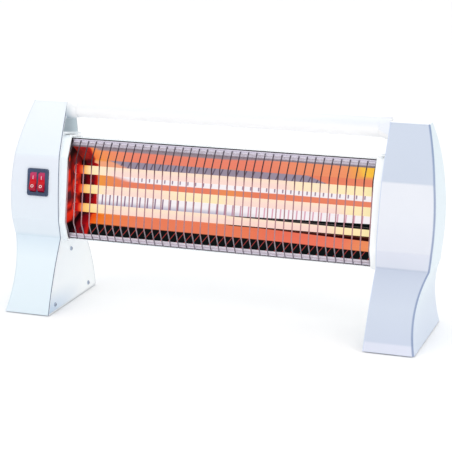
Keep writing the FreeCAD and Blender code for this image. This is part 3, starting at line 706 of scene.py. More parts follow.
class Spot(NamedTuple):
    """A place on the reflector, in millimetres, and how brushed it is there."""

    graph: Graph
    x: Value
    z: Value
    brushed: Value


class Painter(ABC):
    """Paints one region of the reflector, mostly its painted glow, reflections and shade; places are in
    millimetres of X and Z.
    """

    @abstractmethod
    def paint(self, spot: Spot, colour: Socket) -> Socket:
        """Paint the region.

        Args:
            spot: The place on the reflector.
            colour: The colour so far.

        Returns:
            The painted colour.
        """


@dataclass(frozen=True)
class Hood(Painter):
    """Upper fold: painted peach glow low at its right-hand end, in painted mauve shade under the flange."""

    # Painted reflected glow, peachy, low at the right-hand end.
    peach: Colour = srgb(244, 158, 100)
    peach_rise: Step = Step(168.0, 172.5)
    peach_run: Step = Step(145.0, 160.0)
    shade_height: float = 181.2
    shade_bend: float = 5.0
    shade_climb: float = 0.062
    shade_step: Step = Step(-0.6, 2.2)
    shade_run: Step = Step(-158.0, -146.0)

    def paint(self, spot: Spot, colour: Socket) -> Socket:
        """Paint the upper fold.

        Args:
            spot: The place on the reflector.
            colour: The colour so far.

        Returns:
            The painted colour.
        """
        graph, x, z = spot.graph, spot.x, spot.z
        # Painted peach glow low at the right-hand end.
        peach = (1 - graph.rise(z, self.peach_rise)) * graph.rise(x, self.peach_run)
        colour = graph.mix(peach, colour, self.peach)
        # Painted mauve shade under the flange.
        edge = ((x - self.shade_bend) * self.shade_climb).largest(0.0) + self.shade_height
        shade = graph.rise(z - edge, self.shade_step) * graph.rise(x, self.shade_run)
        return graph.mix(shade, colour, MAUVE)


@dataclass(frozen=True)
class Wall(Painter):
    """Back between the folds: painted warm glow, with a grey haze at its top that is a painted reflection of
    the wires.
    """

    # Painted reflected glow along the back.
    tones: Stops = stops(
        (-160, 248, 160, 64), (-146, 244, 148, 84), (-125, 241, 136, 104), (-25, 240, 134, 106),
        (5, 245, 152, 92), (35, 241, 134, 102), (180, 242, 140, 108))
    # Painted reflection of the wires: a grey haze at the top of the back.
    haze: Colour = srgb(158, 146, 164)
    haze_middle: float = 162.2
    haze_slant: float = 3.0
    haze_heights: Band = Band(158.0, UPPER_FOLD - 0.4, 0.6)
    haze_length: Band = Band(-134.0, 107.0, 5.0)
    # Painted peach glow at the left of the haze.
    peach: Colour = srgb(250, 180, 150)
    peach_heights: Band = Band(153.0, 165.0, 3.0)
    peach_end: Step = Step(-138.0, -126.0)
    peach_share: float = 0.7
    # Painted reflections of single wires, as ticks across the haze.
    tick: Colour = srgb(74, 66, 88)
    ticks: Lines = Lines(9.47, 2.5, 0.8, 0.8)
    tick_lean: float = 0.44
    tick_share: float = 0.75

    def paint(self, spot: Spot, colour: Socket) -> Socket:
        """Paint the back.

        Args:
            spot: The place on the reflector.
            colour: The colour so far.

        Returns:
            The painted colour.
        """
        graph, x, z = spot.graph, spot.x, spot.z
        back = graph.between(z, Band(LOWER_FOLD, UPPER_FOLD, FOLD_SOFT))
        # Painted glow on the back.
        colour = graph.mix(back, colour, graph.ramp(x, self.tones))
        climb = z - self.haze_middle
        slant = x + climb * self.haze_slant
        # Painted reflections: haze, peach glow and wire ticks.
        haze = graph.between(z, self.haze_heights) * graph.between(slant, self.haze_length)
        colour = graph.mix(haze, colour, self.haze)
        peach = graph.between(z, self.peach_heights) * (1 - graph.rise(slant, self.peach_end))
        colour = graph.mix(peach * self.peach_share, colour, self.peach)
        ticks = graph.lines(x - climb * self.tick_lean, self.ticks) * self.tick_share
        return graph.mix(ticks * haze, colour, self.tick)


@dataclass(frozen=True)
class PaleBands(Painter):
    """Two pale bands on the back, painted reflections of the tubes, crossed by painted reflections of the
    wires, with a painted dark wedge of shade under the lower one.
    """

    # Painted reflections: pale bands from the tubes, with ticks from the wires.
    pale: Colour = srgb(255, 250, 254)
    tick: Colour = srgb(132, 92, 124)
    ticks: Lines = Lines(9.47, -0.7, 0.8, 0.8)
    tick_foot: float = 121.0
    tick_lean: float = 0.048
    wave: Clouds = Clouds(9.0, 0.0, (1.0, 0.0, 0.0))
    wave_height: float = 2.0
    upper_heights: Band = Band(143.2, 153.0, 0.9)
    upper_middle: float = 146.0
    upper_slant: float = 4.0
    upper_start: Step = Step(-140.0, -112.0)
    upper_ticks: Band = Band(144.6, 156.0, 2.0)
    upper_tick_start: Step = Step(-118.0, -108.0)
    upper_tick_share: float = 0.85
    lower_heights: Band = Band(109.0, 128.5, 0.8)
    lower_start: Step = Step(-161.0, -159.0)
    # Lavender tint of the painted reflection, low in the lower band towards the left.
    lavender: Colour = srgb(194, 190, 210)
    lavender_rise: Step = Step(114.5, 121.5)
    lavender_run: Step = Step(-10.0, 60.0)
    lower_ticks: Band = Band(114.5, 129.0, 2.0)
    lower_tick_share: float = 0.95
    # Blush tint of the painted wire reflections towards the right.
    blush: Colour = srgb(216, 128, 158)
    blush_run: Step = Step(-40.0, 50.0)
    blush_loss: float = 0.2
    # Painted shade: a dark wedge under the lower band.
    wedge_tip: float = -10.0
    wedge_height: float = 114.6
    wedge_climb: float = 0.0245
    wedge_step: Step = Step(0.0, 0.5)
    wedge_start: Step = Step(-6.0, 12.0)

    def paint(self, spot: Spot, colour: Socket) -> Socket:
        """Paint both bands and the wedge.

        Args:
            spot: The place on the reflector.
            colour: The colour so far.

        Returns:
            The painted colour.
        """
        graph, x, z = spot.graph, spot.x, spot.z
        ticks = graph.lines(x - (z - self.tick_foot) * self.tick_lean, self.ticks)
        wave = (graph.noise(self.wave) - NOISE_MEAN) * self.wave_height
        start = graph.rise(x + (z - self.upper_middle) * self.upper_slant, self.upper_start)
        upper = graph.between(z + wave, self.upper_heights) * start
        # Painted reflection of the upper tube, crossed by painted wire reflections.
        colour = graph.mix(upper, colour, self.pale)
        crossed = graph.between(z, self.upper_ticks) * graph.rise(x, self.upper_tick_start) * upper
        colour = graph.mix(ticks * crossed * self.upper_tick_share, colour, self.tick)
        # Painted reflection of the lower tube, crossed by painted wire reflections.
        lower = graph.between(z, self.lower_heights) * graph.rise(x, self.lower_start)
        dim = (1 - graph.rise(z, self.lavender_rise)) * (1 - graph.rise(x, self.lavender_run))
        colour = graph.mix(lower, colour, graph.mix(dim, self.pale, self.lavender))
        right = graph.rise(x, self.blush_run)
        share = self.lower_tick_share - right * self.blush_loss
        crossed = graph.between(z, self.lower_ticks) * lower * share
        colour = graph.mix(ticks * crossed, colour, graph.mix(right, self.tick, self.blush))
        back = graph.between(z, Band(LOWER_FOLD, UPPER_FOLD, FOLD_SOFT))
        edge = (x - self.wedge_tip) * self.wedge_climb + self.wedge_height
        # Painted dark wedge of shade under the lower band.
        wedge = graph.rise(edge - z, self.wedge_step) * graph.rise(x, self.wedge_start)
        return graph.mix(wedge * back, colour, NEAR_BLACK)


@dataclass(frozen=True)
class Sill(Painter):
    """Lower fold: painted warm glow along its length, with a painted dark wedge of shade under the lower
    tube.
    """

    # Painted reflected glow along the lower fold.
    tones: Stops = stops(
        (-160, 240, 84, 24), (-150, 246, 124, 38), (-136, 243, 130, 70), (-100, 240, 130, 94),
        (30, 240, 128, 92), (70, 242, 116, 92), (140, 243, 124, 98), (160, 244, 142, 98),
        (180, 243, 150, 94))
    # Painted shade: the dark wedge under the lower tube.
    wedge_shade: Colour = srgb(46, 6, 8)
    wedge_tip: float = 23.0
    wedge_height: float = 104.0
    wedge_drop: float = 0.017
    wedge_step: Step = Step(0.0, 0.25)
    wedge_start: Step = Step(23.0, 36.0)

    def paint(self, spot: Spot, colour: Socket) -> Socket:
        """Paint the lower fold.

        Args:
            spot: The place on the reflector.
            colour: The colour so far.

        Returns:
            The painted colour.
        """
        graph, x, z = spot.graph, spot.x, spot.z
        sill = 1 - graph.rise(z, Step(LOWER_FOLD - FOLD_SOFT / 2, LOWER_FOLD + FOLD_SOFT / 2))
        # Painted glow on the lower fold.
        colour = graph.mix(sill, colour, graph.ramp(x, self.tones))
        # Painted dark wedge of shade under the lower tube.
        above = z - self.wedge_height + (x - self.wedge_tip) * self.wedge_drop
        wedge = graph.rise(above, self.wedge_step) * graph.rise(x, self.wedge_start)
        return graph.mix(wedge * sill, colour, self.wedge_shade)


@dataclass(frozen=True)
class ColdEnd(Painter):
    """Left-hand end past the hot part of the tubes: painted deep red glow with dusky patches of painted
    shade, brighter at its top.
    """

    # Painted red glow at the left-hand end, darkest at the very end.
    tones: Stops = stops(
        (-182, 8, 4, 5), (-176, 24, 6, 9), (-171, 112, 9, 18), (-164, 146, 12, 22), (-160, 196, 20, 18),
        (-157, 236, 44, 18))
    edge: Step = Step(-159.5, -156.5)
    edge_wobble: float = 2.0
    over_rise: Step = Step(161.0, 163.0)
    over_top: float = 184.0
    over_lean: float = 0.25
    under_lean: float = 0.8
    trough_rise: Step = Step(96.0, 98.0)
    trough_inset: float = 4.0
    # Painted brighter red glow at the top.
    upper: Colour = srgb(196, 52, 40)
    upper_rise: Step = Step(163.0, 168.0)
    upper_share: float = 0.45
    # Painted shade in dusky patches.
    dusk: Colour = srgb(44, 20, 30)
    dusk_clouds: Clouds = Clouds(95.0, 1.0)
    dusk_step: Step = Step(0.48, 0.6)
    dusk_end: Step = Step(-166.0, -160.0)
    dusk_share: float = 0.75
    dusk_loss: float = 0.4

    def paint(self, spot: Spot, colour: Socket) -> Socket:
        """Paint the left-hand end.

        Args:
            spot: The place on the reflector.
            colour: The colour so far.

        Returns:
            The painted colour.
        """
        graph, x, z = spot.graph, spot.x, spot.z
        over = graph.rise(z, self.over_rise) * (self.over_top - z).largest(0.0) * self.over_lean
        sill = graph.between(z, Band(TROUGH_FOLD, LOWER_FOLD, FOLD_SOFT))
        under = sill * (z - TROUGH_FOLD) * self.under_lean
        inset = (1 - graph.rise(z, self.trough_rise)) * self.trough_inset
        left = 1 - graph.rise(x + spot.brushed * self.edge_wobble + over + under - inset, self.edge)
        upper = graph.rise(z, self.upper_rise)
        # Painted red glow, with dusky patches of painted shade.
        lit = graph.mix(upper * self.upper_share, graph.ramp(x, self.tones), self.upper)
        dusk = graph.rise(graph.noise(self.dusk_clouds), self.dusk_step) * (1 - graph.rise(x, self.dusk_end))
        dusk = dusk * (self.dusk_share - upper * self.dusk_loss)
        return graph.mix(left, colour, graph.mix(dusk, lit, self.dusk))


@dataclass(frozen=True)
class Brushing(Painter):
    """Fine dark strokes along the sheet."""

    share: float = 0.1

    def paint(self, spot: Spot, colour: Socket) -> Socket:
        """Paint the strokes, as in Painter."""
        return spot.graph.mix(spot.brushed * self.share, colour, NEAR_BLACK)


@dataclass(frozen=True)
class Trough(Painter):
    """Dark trough above the lower flange, a painted dark reflection, and the painted reflections of the
    wires that cross it.
    """

    start: Step = Step(-160.0, -156.0)
    tilt: float = 0.004
    drop: float = 1.5
    drop_run: Step = Step(60.0, 175.0)
    fold_step: Step = Step(TROUGH_FOLD - 0.4, TROUGH_FOLD + 0.3)
    # Painted reflections of the wires, ruby, in the trough.
    ruby: Colour = srgb(190, 74, 72)
    wires: Lines = Lines(9.68, 2.0, 0.3, 0.5)
    wire_lean: float = 0.7
    wire_share: float = 0.8

    def paint(self, spot: Spot, colour: Socket) -> Socket:
        """Paint the trough.

        Args:
            spot: The place on the reflector.
            colour: The colour so far.

        Returns:
            The painted colour.
        """
        graph, x, z = spot.graph, spot.x, spot.z
        fold = z + x * self.tilt + graph.rise(x, self.drop_run) * self.drop
        trough = (1 - graph.rise(fold, self.fold_step)) * graph.rise(x, self.start)
        # Painted dark reflection in the trough.
        colour = graph.mix(trough, colour, NEAR_BLACK)
        # Painted ruby reflections of the wires across the trough.
        wires = graph.lines(x - (z - LOWER_FLANGE) * self.wire_lean, self.wires)
        return graph.mix(trough * wires * self.wire_share, colour, self.ruby)


@dataclass(frozen=True)
class MirrorSheet:
    """Polished reflector: flanges without glow, in painted lilac reflection and mauve shade, and folds that
    hold the tubes' glow and reflections in painted bands that it gives out as emission.
    """

    name: str
    # Painted reflected glow along the upper fold, before the painters add the rest.
    tones: Stops = stops(
        (-160, 250, 134, 70), (-152, 250, 152, 88), (-134, 246, 146, 108), (-112, 243, 138, 112),
        (40, 241, 134, 110), (90, 244, 148, 110), (140, 246, 152, 108), (156, 250, 170, 84),
        (163, 255, 202, 76), (180, 255, 194, 60))
    painters: tuple[Painter, ...] = (
        Hood(), Wall(), PaleBands(), Sill(), ColdEnd(), Brushing(), Trough())
    brush: Clouds = Clouds(60.0, 4.0, (0.15, 6.0, 6.0))
    brush_depth: float = 0.05 * MM
    brush_strength: float = 0.2
    # Painted glow: the painted colours are given out as emission, though the sheet is no lamp.
    glow: float = 0.94
    glow_dark: float = 0.94
    rim_band: Band = Band(TROUGH_EDGE, UPPER_FLANGE, 0.6)
    rim_backward: Step = Step(0.0, 0.2)
    rim_metal: float = 0.12
    # Painted lilac reflection on the flanges, with the painted mauve shade under the upper one.
    flange: Colour = srgb(222, 216, 230)
    flange_rise: Step = Step(187.0, 188.4)
    low_flange: Colour = srgb(234, 226, 236)
    low_flange_rise: Step = Step(120.0, 150.0)
    rough: float = 0.3
    rough_drift: float = 0.2
    specular: float = 0.04

    def material(self) -> bpy.types.Material:
        """Build the material.

        Returns:
            The material.
        """
        graph = Graph(self.name)
        spot = Spot(graph, graph.x / MM, graph.z / MM, graph.noise(self.brush))
        # Painted glow, reflections and shade, region by region.
        colour = graph.ramp(spot.x, self.tones)
        for painter in self.painters:
            colour = painter.paint(spot, colour)
        rim = 1 - graph.between(spot.z, self.rim_band)
        rim = rim.largest(graph.rise(graph.facing().deep, self.rim_backward))
        # Painted shade and reflection on the flanges.
        upper = graph.mix(graph.rise(spot.z, self.flange_rise), MAUVE, self.flange)
        metal = graph.mix(graph.rise(spot.z, self.low_flange_rise), self.low_flange, upper)
        # The painted colours are given out as emission on the folds; the flanges and back faces keep no
        # glow.
        return graph.surface(
            base_color=graph.mix(rim, graph.mix(self.glow_dark, colour, BLACK), metal),
            metallic=rim * self.rim_metal, roughness=spot.brushed * self.rough_drift + self.rough,
            emission_color=graph.mix(rim, colour, BLACK), emission_strength=self.glow,
            specular_ior_level=self.specular,
            normal=graph.bump(spot.brushed, self.brush_depth, self.brush_strength))


@dataclass(frozen=True)
class HotPlate:
    """Heat-darkened end plate: painted red glow round the tube ends, with a strip of painted red reflections
    at its front.
    """

    name: str
    tubes: Places
    dark: Colour = srgb(12, 6, 8)
    clouds: Clouds = Clouds(120.0, 3.0)
    # Painted red glow round the tube ends, dull and fading away from them.
    dull: Colour = srgb(150, 16, 16)
    dull_reach: Step = Step(10 * MM, 26 * MM)
    dull_wobble: float = 8 * MM
    # Painted brighter patches in the glow.
    bright: Colour = srgb(244, 50, 26)
    bright_clouds: Clouds = Clouds(52.0, 1.0)
    bright_step: Step = Step(0.42, 0.6)
    # Dark grey patches in the painted glow.
    grey: Colour = srgb(58, 34, 42)
    grey_clouds: Clouds = Clouds(88.0, 1.0, (1.0, 1.0, 0.8))
    grey_step: Step = Step(0.48, 0.58)
    grey_share: float = 0.8
    # Painted red reflections of the tubes in a strip at the front, by height.
    strip: Stops = stops(
        (99, 12, 6, 8), (102, 226, 40, 22), (110, 240, 50, 26), (114, 120, 16, 20), (119, 236, 44, 26),
        (124, 120, 20, 24), (127, 70, 30, 40), (134, 78, 36, 44), (138, 222, 36, 24), (144, 150, 18, 20),
        (149, 238, 44, 24), (159, 240, 46, 26), (162, 104, 40, 48), (169, 112, 48, 54), (172, 236, 60, 28),
        (181, 230, 56, 28), (184, 12, 6, 8))
    strip_end: Step = Step(-6.0, -2.0)
    strip_wobble: float = 2.0
    rough: float = 0.35
    rough_drift: float = 0.3
    specular: float = 0.1
    # Painted glow: the colours are given out as emission, though the plate is no lamp.
    glow: float = 0.8

    def material(self) -> bpy.types.Material:
        """Build the material.

        Returns:
            The material.
        """
        graph = Graph(self.name)
        cloud = graph.noise(self.clouds)
        away = nearest_axis(graph, self.tubes) + cloud * self.dull_wobble
        # Painted red glow round the tubes, with bright and grey patches.
        halo = 1 - graph.rise(away, self.dull_reach)
        colour = graph.mix(halo, self.dark, self.dull)
        bright = graph.rise(graph.noise(self.bright_clouds), self.bright_step)
        colour = graph.mix(bright * halo, colour, self.bright)
        grey = graph.rise(graph.noise(self.grey_clouds), self.grey_step)
        colour = graph.mix(grey * halo * self.grey_share, colour, self.grey)
        # Painted strip of red reflections at the front.
        front = 1 - graph.rise(graph.y / MM + cloud * self.strip_wobble, self.strip_end)
        colour = graph.mix(front, colour, graph.ramp(graph.z / MM, self.strip))
        return graph.surface(
            base_color=self.dark, roughness=cloud * self.rough_drift + self.rough,
            specular_ior_level=self.specular, emission_color=colour, emission_strength=self.glow)


@dataclass(frozen=True)
class LitCeramic:
    """Cream ceramic with a painted red glow from the tube on its part inside the head, brightest round the
    tube.
    """

    name: str
    tubes: Places
    colour: Colour = srgb(206, 176, 156)
    # Darker on the part inside the head, under the painted glow.
    inside_dark: Colour = srgb(40, 6, 8)
    inside_dark_share: float = 0.9
    outside_run: Step = Step(180.3, 182.3)
    # Painted red glow, brightest at the rim round the tube.
    red: Colour = srgb(150, 14, 22)
    rim: Colour = srgb(250, 78, 64)
    rim_reach: Step = Step(5.9 * MM, 6.4 * MM)
    glow: float = 0.8
    grain: Clouds = Clouds(500.0, 3.0)
    grain_depth: float = 0.03 * MM
    grain_strength: float = 0.3
    rough: float = 0.5
    rough_drift: float = 0.15

    def material(self) -> bpy.types.Material:
        """Build the material.

        Returns:
            The material.
        """
        graph = Graph(self.name)
        grain = graph.noise(self.grain)
        inside = 1 - graph.rise(abs(graph.x) / MM, self.outside_run)
        # Painted red glow, brightest round the tube, given out as emission inside the head.
        lit = graph.mix(graph.rise(nearest_axis(graph, self.tubes), self.rim_reach), self.rim, self.red)
        return graph.surface(
            base_color=graph.mix(inside * self.inside_dark_share, self.colour, self.inside_dark),
            roughness=grain * self.rough_drift + self.rough,
            emission_color=graph.mix(inside, BLACK, lit), emission_strength=self.glow,
            normal=graph.bump(grain, self.grain_depth, self.grain_strength))


@dataclass(frozen=True)
class WireSteel:
    """Bright drawn wire: tinted at each height by painted reflections of what it mirrors, with a pale
    painted reflection on the rails along the flanges.
    """

    name: str
    # Painted reflections by height, pinkish in front of the tubes and dark near the upper fold.
    tones: Stops = stops(
        (81, 120, 110, 124), (90, 124, 116, 128), (96, 150, 142, 152), (103, 176, 136, 142),
        (112, 184, 138, 144), (160, 180, 132, 140), (167, 112, 76, 82), (173, 58, 38, 46),
        (185, 60, 46, 54), (190, 84, 76, 88))
    dull: Colour = srgb(70, 60, 68)
    dull_step: Step = Step(0.35, 0.8)
    dull_share: float = 0.3
    rails: Places = ((3.15 * MM, 191.6 * MM), (-14.35 * MM, 83.2 * MM))
    # Painted pale reflection on the rails.
    rail: Colour = srgb(214, 208, 222)
    rail_reach: Step = Step(1.0 * MM, 1.1 * MM)
    streak: Clouds = Clouds(220.0, 3.0, (1.0, 1.0, 0.2))
    streak_depth: float = 0.03 * MM
    streak_strength: float = 0.2
    metal: float = 0.15
    rough: float = 0.25
    rough_drift: float = 0.2
    specular: float = 0.3

    def material(self) -> bpy.types.Material:
        """Build the material.

        Returns:
            The material.
        """
        graph = Graph(self.name)
        streak = graph.noise(self.streak)
        dull = graph.rise(streak, self.dull_step) * self.dull_share
        # Painted reflections by height, with random dull streaks.
        colour = graph.mix(dull, graph.ramp(graph.z / MM, self.tones), self.dull)
        # Painted pale reflection on the rails.
        off_rail = graph.rise(nearest_axis(graph, self.rails), self.rail_reach)
        return graph.surface(
            base_color=graph.mix(off_rail, self.rail, colour), metallic=self.metal,
            roughness=streak * self.rough_drift + self.rough, specular_ior_level=self.specular,
            normal=graph.bump(streak, self.streak_depth, self.streak_strength))


@dataclass(frozen=True)
class GlowingQuartz:
    """Milky quartz lit from inside: its glow drifts from pink to cream, and reddens at the cold ends.

    Past dim_from along X, in millimetres, its upper side carries a painted dark reflection of the trough.
    """

    name: str
    tones: Stops
    dim_from: float = 400.0
    dim_fade: float = 20.0
    dim_climb: float = 0.0016
    dim_upward: Step = Step(0.97, 1.0)
    drift: Clouds = Clouds(34.0, 2.0, (1.0, 0.15, 0.15))
    drift_length: float = 10.0
    coil: Colour = srgb(250, 206, 190)
    coil_turns: Lines = Lines(2.2, 0.0, 0.7, 0.8)
    coil_share: float = 0.14
    # Painted light: paler on the upper side, away from the ends.
    warm: Colour = srgb(255, 240, 200)
    warm_upward: Step = Step(0.0, 0.9)
    warm_end: Step = Step(150.0, 165.0)
    warm_share: float = 0.4
    body: Colour = srgb(88, 76, 70)
    cold_body: Colour = srgb(30, 6, 6)
    cold_run: Step = Step(164.0, 172.0)
    frost: Clouds = Clouds(300.0, 2.0)
    rough: float = 0.25
    rough_drift: float = 0.15
    specular: float = 0.06
    glow: float = 0.93

    def material(self) -> bpy.types.Material:
        """Build the material.

        Returns:
            The material.
        """
        graph = Graph(self.name)
        x = graph.x / MM
        up = graph.facing().up
        drift = (graph.noise(self.drift) - NOISE_MEAN) * self.drift_length
        cold = graph.rise(abs(x), self.cold_run)
        turns = (1 - cold) * graph.lines(x, self.coil_turns) * self.coil_share
        colour = graph.mix(turns, graph.ramp(x + drift, self.tones), self.coil)
        # Painted light on the upper side.
        warm = graph.rise(up, self.warm_upward) * (1 - graph.rise(abs(x), self.warm_end))
        colour = graph.mix(warm * self.warm_share, colour, self.warm)
        # Painted dark reflection of the trough on the upper side past dim_from.
        dim = graph.rise((x - self.dim_from) * self.dim_climb + up, self.dim_upward)
        dim = dim * graph.rise(x, Step(self.dim_from, self.dim_from + self.dim_fade))
        body = graph.mix(cold, self.body, self.cold_body)
        return graph.surface(
            base_color=graph.mix(dim, body, NEAR_BLACK), specular_ior_level=self.specular,
            roughness=graph.noise(self.frost) * self.rough_drift + self.rough,
            emission_color=graph.mix(dim, colour, NEAR_BLACK), emission_strength=self.glow)


@dataclass(frozen=True)
class GlowingWire:
    """Red-hot resistance wire, wound in turns."""

    name: str
    body: Colour = srgb(120, 90, 80)
    hot: Colour = srgb(255, 120, 40)
    between_turns: Colour = srgb(160, 40, 15)
    turns: Lines = Lines(2.2 * MM, 0.0, 0.8 * MM, 0.6 * MM)
    rough: float = 0.4
    rough_drift: float = 0.1
    glow: float = 1.0

    def material(self) -> bpy.types.Material:
        """Build the material.

        Returns:
            The material.
        """
        graph = Graph(self.name)
        turns = graph.lines(graph.x, self.turns)
        return graph.surface(
            base_color=self.body, roughness=turns * self.rough_drift + self.rough,
            emission_color=graph.mix(turns, self.between_turns, self.hot), emission_strength=self.glow)


@dataclass(frozen=True)
class Mottled:
    """Plain solid material whose tone, gloss and grain drift a little: rubber, brass, paint or moulding."""

    name: str
    colour: Colour
    second: Colour
    rough: float
    rough_drift: float = 0.15
    metal: float = 0.0
    coat: float = 0.0
    clouds: Clouds = Clouds(60.0, 3.0)
    cloud_step: Step = Step(0.35, 0.7)
    grain: Clouds = Clouds(500.0, 3.0)
    grain_depth: float = 0.03 * MM
    grain_strength: float = 0.3

    def material(self) -> bpy.types.Material:
        """Build the material.

        Returns:
            The material.
        """
        graph = Graph(self.name)
        grain = graph.noise(self.grain)
        cloud = graph.rise(graph.noise(self.clouds), self.cloud_step)
        return graph.surface(
            base_color=graph.mix(cloud, self.colour, self.second), metallic=self.metal,
            roughness=grain * self.rough_drift + self.rough, coat_weight=self.coat,
            normal=graph.bump(grain, self.grain_depth, self.grain_strength))


@dataclass(frozen=True)
class LitPlastic:
    """Clear red plastic with painted glow: a pinkish painted highlight at the top, crimson at the bottom."""

    name: str
    # Painted glow by height: crimson low down, a pinkish painted highlight at the top.
    tones: Stops = stops(
        (134.0, 104, 18, 42), (137.5, 168, 18, 56), (143.0, 196, 14, 52), (145.0, 232, 8, 20),
        (148.5, 236, 10, 24), (151.0, 220, 44, 100), (157.0, 224, 92, 142))
    deep: Colour = srgb(120, 2, 12)
    clouds: Clouds = Clouds(160.0, 2.0)
    cloud_share: float = 0.3
    ribs: Lines = Lines(0.8, 0.0, 0.35, 0.2)
    rib_glow_share: float = 0.12
    body: Colour = srgb(92, 4, 16)
    rib_body: Colour = srgb(84, 4, 12)
    rib_body_share: float = 0.3
    rough: float = 0.22
    rough_drift: float = 0.06
    # Painted glow: the colours are given out as emission, though no lamp lights it.
    glow: float = 0.72
    specular: float = 0.2

    def material(self) -> bpy.types.Material:
        """Build the material.

        Returns:
            The material.
        """
        graph = Graph(self.name)
        ribs = graph.lines(graph.x / MM, self.ribs)
        # Painted glow, deeper red in random clouds and along the ribs.
        deep = graph.noise(self.clouds) * self.cloud_share + ribs * self.rib_glow_share
        return graph.surface(
            base_color=graph.mix(ribs * self.rib_body_share, self.body, self.rib_body),
            roughness=ribs * self.rough_drift + self.rough, specular_ior_level=self.specular,
            emission_color=graph.mix(deep, graph.ramp(graph.z / MM, self.tones), self.deep),
            emission_strength=self.glow)


@dataclass(frozen=True)
class ScrewSteel:
    """Plated screws, each with its cross recess drawn in painted shade on its head; their centres are in
    millimetres.
    """

    name: str
    centres: Places
    colour: Colour = srgb(176, 188, 206)
    second: Colour = srgb(146, 158, 178)
    second_step: Step = Step(0.35, 0.7)
    # Painted shade standing in for each cross recess.
    recess: Colour = srgb(52, 58, 70)
    arm: Step = Step(1.5, 1.6)
    slot: Step = Step(0.275, 0.375)
    grain: Clouds = Clouds(500.0, 3.0)
    metal: float = 0.7
    rough: float = 0.25
    rough_drift: float = 0.2

    def material(self) -> bpy.types.Material:
        """Build the material.

        Returns:
            The material.
        """
        graph = Graph(self.name)
        y, z = graph.y / MM, graph.z / MM
        # Painted shade in a cross at each screw's centre.
        crosses: Value | None = None
        for centre_y, centre_z in self.centres:
            run = abs(y - centre_y)
            climb = abs(z - centre_z)
            near = 1 - graph.rise(run.largest(climb), self.arm)
            cross = (1 - graph.rise(run.smallest(climb), self.slot)) * near
            crosses = cross if crosses is None else crosses.largest(cross)
        grain = graph.noise(self.grain)
        plated = graph.mix(graph.rise(grain, self.second_step), self.colour, self.second)
        return graph.surface(
            base_color=graph.mix(crosses, plated, self.recess), metallic=self.metal,
            roughness=grain * self.rough_drift + self.rough)


# The fronts' stops below are painted shade in bands by height.
LEFT_STAND = StandPlastic(
    "left_stand_plastic", srgb(240, 248, 252), srgb(226, 238, 247), side=Side.LEFT, edge_strength=0.12,
    front=stops(
        (0, 225, 238, 246), (60, 228, 240, 247), (80, 217, 231, 242), (83, 217, 231, 242),
        (86, 226, 236, 245), (172, 231, 236, 246), (178, 233, 241, 249), (240, 238, 244, 249)))
# The right stand is a darker, bluer copy of the same plastic: painted shade for the light it gets.
RIGHT_STAND = StandPlastic(
    "right_stand_plastic", srgb(219, 232, 239), srgb(210, 219, 231), side=Side.RIGHT,
    low_flank_shade=srgb(209, 219, 234), seam_shade=srgb(206, 216, 236),
    front=stops(
        (0, 221, 225, 240), (10, 221, 225, 240), (12, 201, 210, 228), (45, 204, 213, 229),
        (80, 196, 205, 223), (83, 196, 205, 223), (84.5, 220, 225, 238), (101, 222, 226, 239),
        (104, 227, 230, 240), (140, 232, 235, 243), (175, 232, 235, 243), (177, 201, 210, 226),
        (240, 202, 211, 227)))
COVER_PLASTIC = CoverPlastic("cover_plastic", srgb(251, 254, 255), srgb(246, 251, 255))
HANDLE_PLASTIC = GripPlastic("handle_plastic", srgb(254, 254, 255), srgb(247, 249, 253))
SOCKET_PLASTIC = SocketPlastic("socket_plastic", srgb(254, 254, 255), srgb(247, 250, 254))
# White enamel: its colour, a random warm tone, the painted shade of back faces and the cool painted shade of
# the left front.
WHITE_ENAMEL = Enamel(
    "white_enamel", srgb(250, 253, 255), srgb(249, 251, 253), srgb(228, 236, 243), srgb(240, 248, 253))
RUBBER = Mottled("rubber", srgb(44, 45, 48), srgb(34, 35, 38), 0.6, grain=Clouds(900.0, 3.0))
SWITCH_PLASTIC = Mottled("switch_plastic", srgb(56, 74, 106), srgb(44, 60, 88), 0.25, coat=0.15)
BRASS = Mottled("brass", srgb(205, 170, 95), srgb(176, 140, 70), 0.25, metal=1.0)
BLOCK_PLASTIC = Mottled("block_plastic", srgb(228, 226, 214), srgb(214, 210, 196), 0.45)
LEAD_SLEEVE = Mottled("lead_sleeve", srgb(188, 36, 32), srgb(164, 28, 26), 0.5)
MARK_PAINT = Mottled("mark_paint", srgb(248, 238, 236), srgb(240, 226, 224), 0.4)

COLD_TUBE = ((-181, 150, 10, 14), (-175, 206, 24, 22), (-171, 240, 100, 50), (-167, 255, 190, 96))
QUARTZ: Mapping[str, GlowingQuartz] = {
    "upper": GlowingQuartz("quartz_upper", stops(
        *COLD_TUBE, (-160, 255, 232, 172), (-150, 255, 240, 200), (-132, 252, 224, 214), (74, 252, 221, 212),
        (94, 255, 239, 198), (110, 254, 238, 200), (120, 252, 228, 208), (134, 255, 241, 190),
        (173, 255, 240, 182), (181, 250, 150, 62))),
    "middle": GlowingQuartz("quartz_middle", stops(
        *COLD_TUBE, (-160, 255, 222, 128), (-150, 255, 236, 180), (-140, 252, 226, 212),
        (-74, 252, 224, 212), (-44, 255, 239, 190), (-2, 255, 239, 186), (22, 252, 223, 212),
        (134, 252, 221, 212), (150, 255, 238, 182), (173, 255, 239, 186), (181, 250, 150, 62))),
    # The lower tube's right half carries the painted dark reflection on its upper side.
    "lower": GlowingQuartz("quartz_lower", stops(
        *COLD_TUBE, (-160, 255, 216, 110), (-150, 254, 228, 176), (-136, 252, 224, 208),
        (120, 250, 215, 206), (142, 255, 236, 176), (173, 255, 235, 178), (181, 250, 150, 62)),
        dim_from=0.0),
}

SIDES = ("left", "right")
ACROSS = Vector((1.0, 0.0, 0.0))


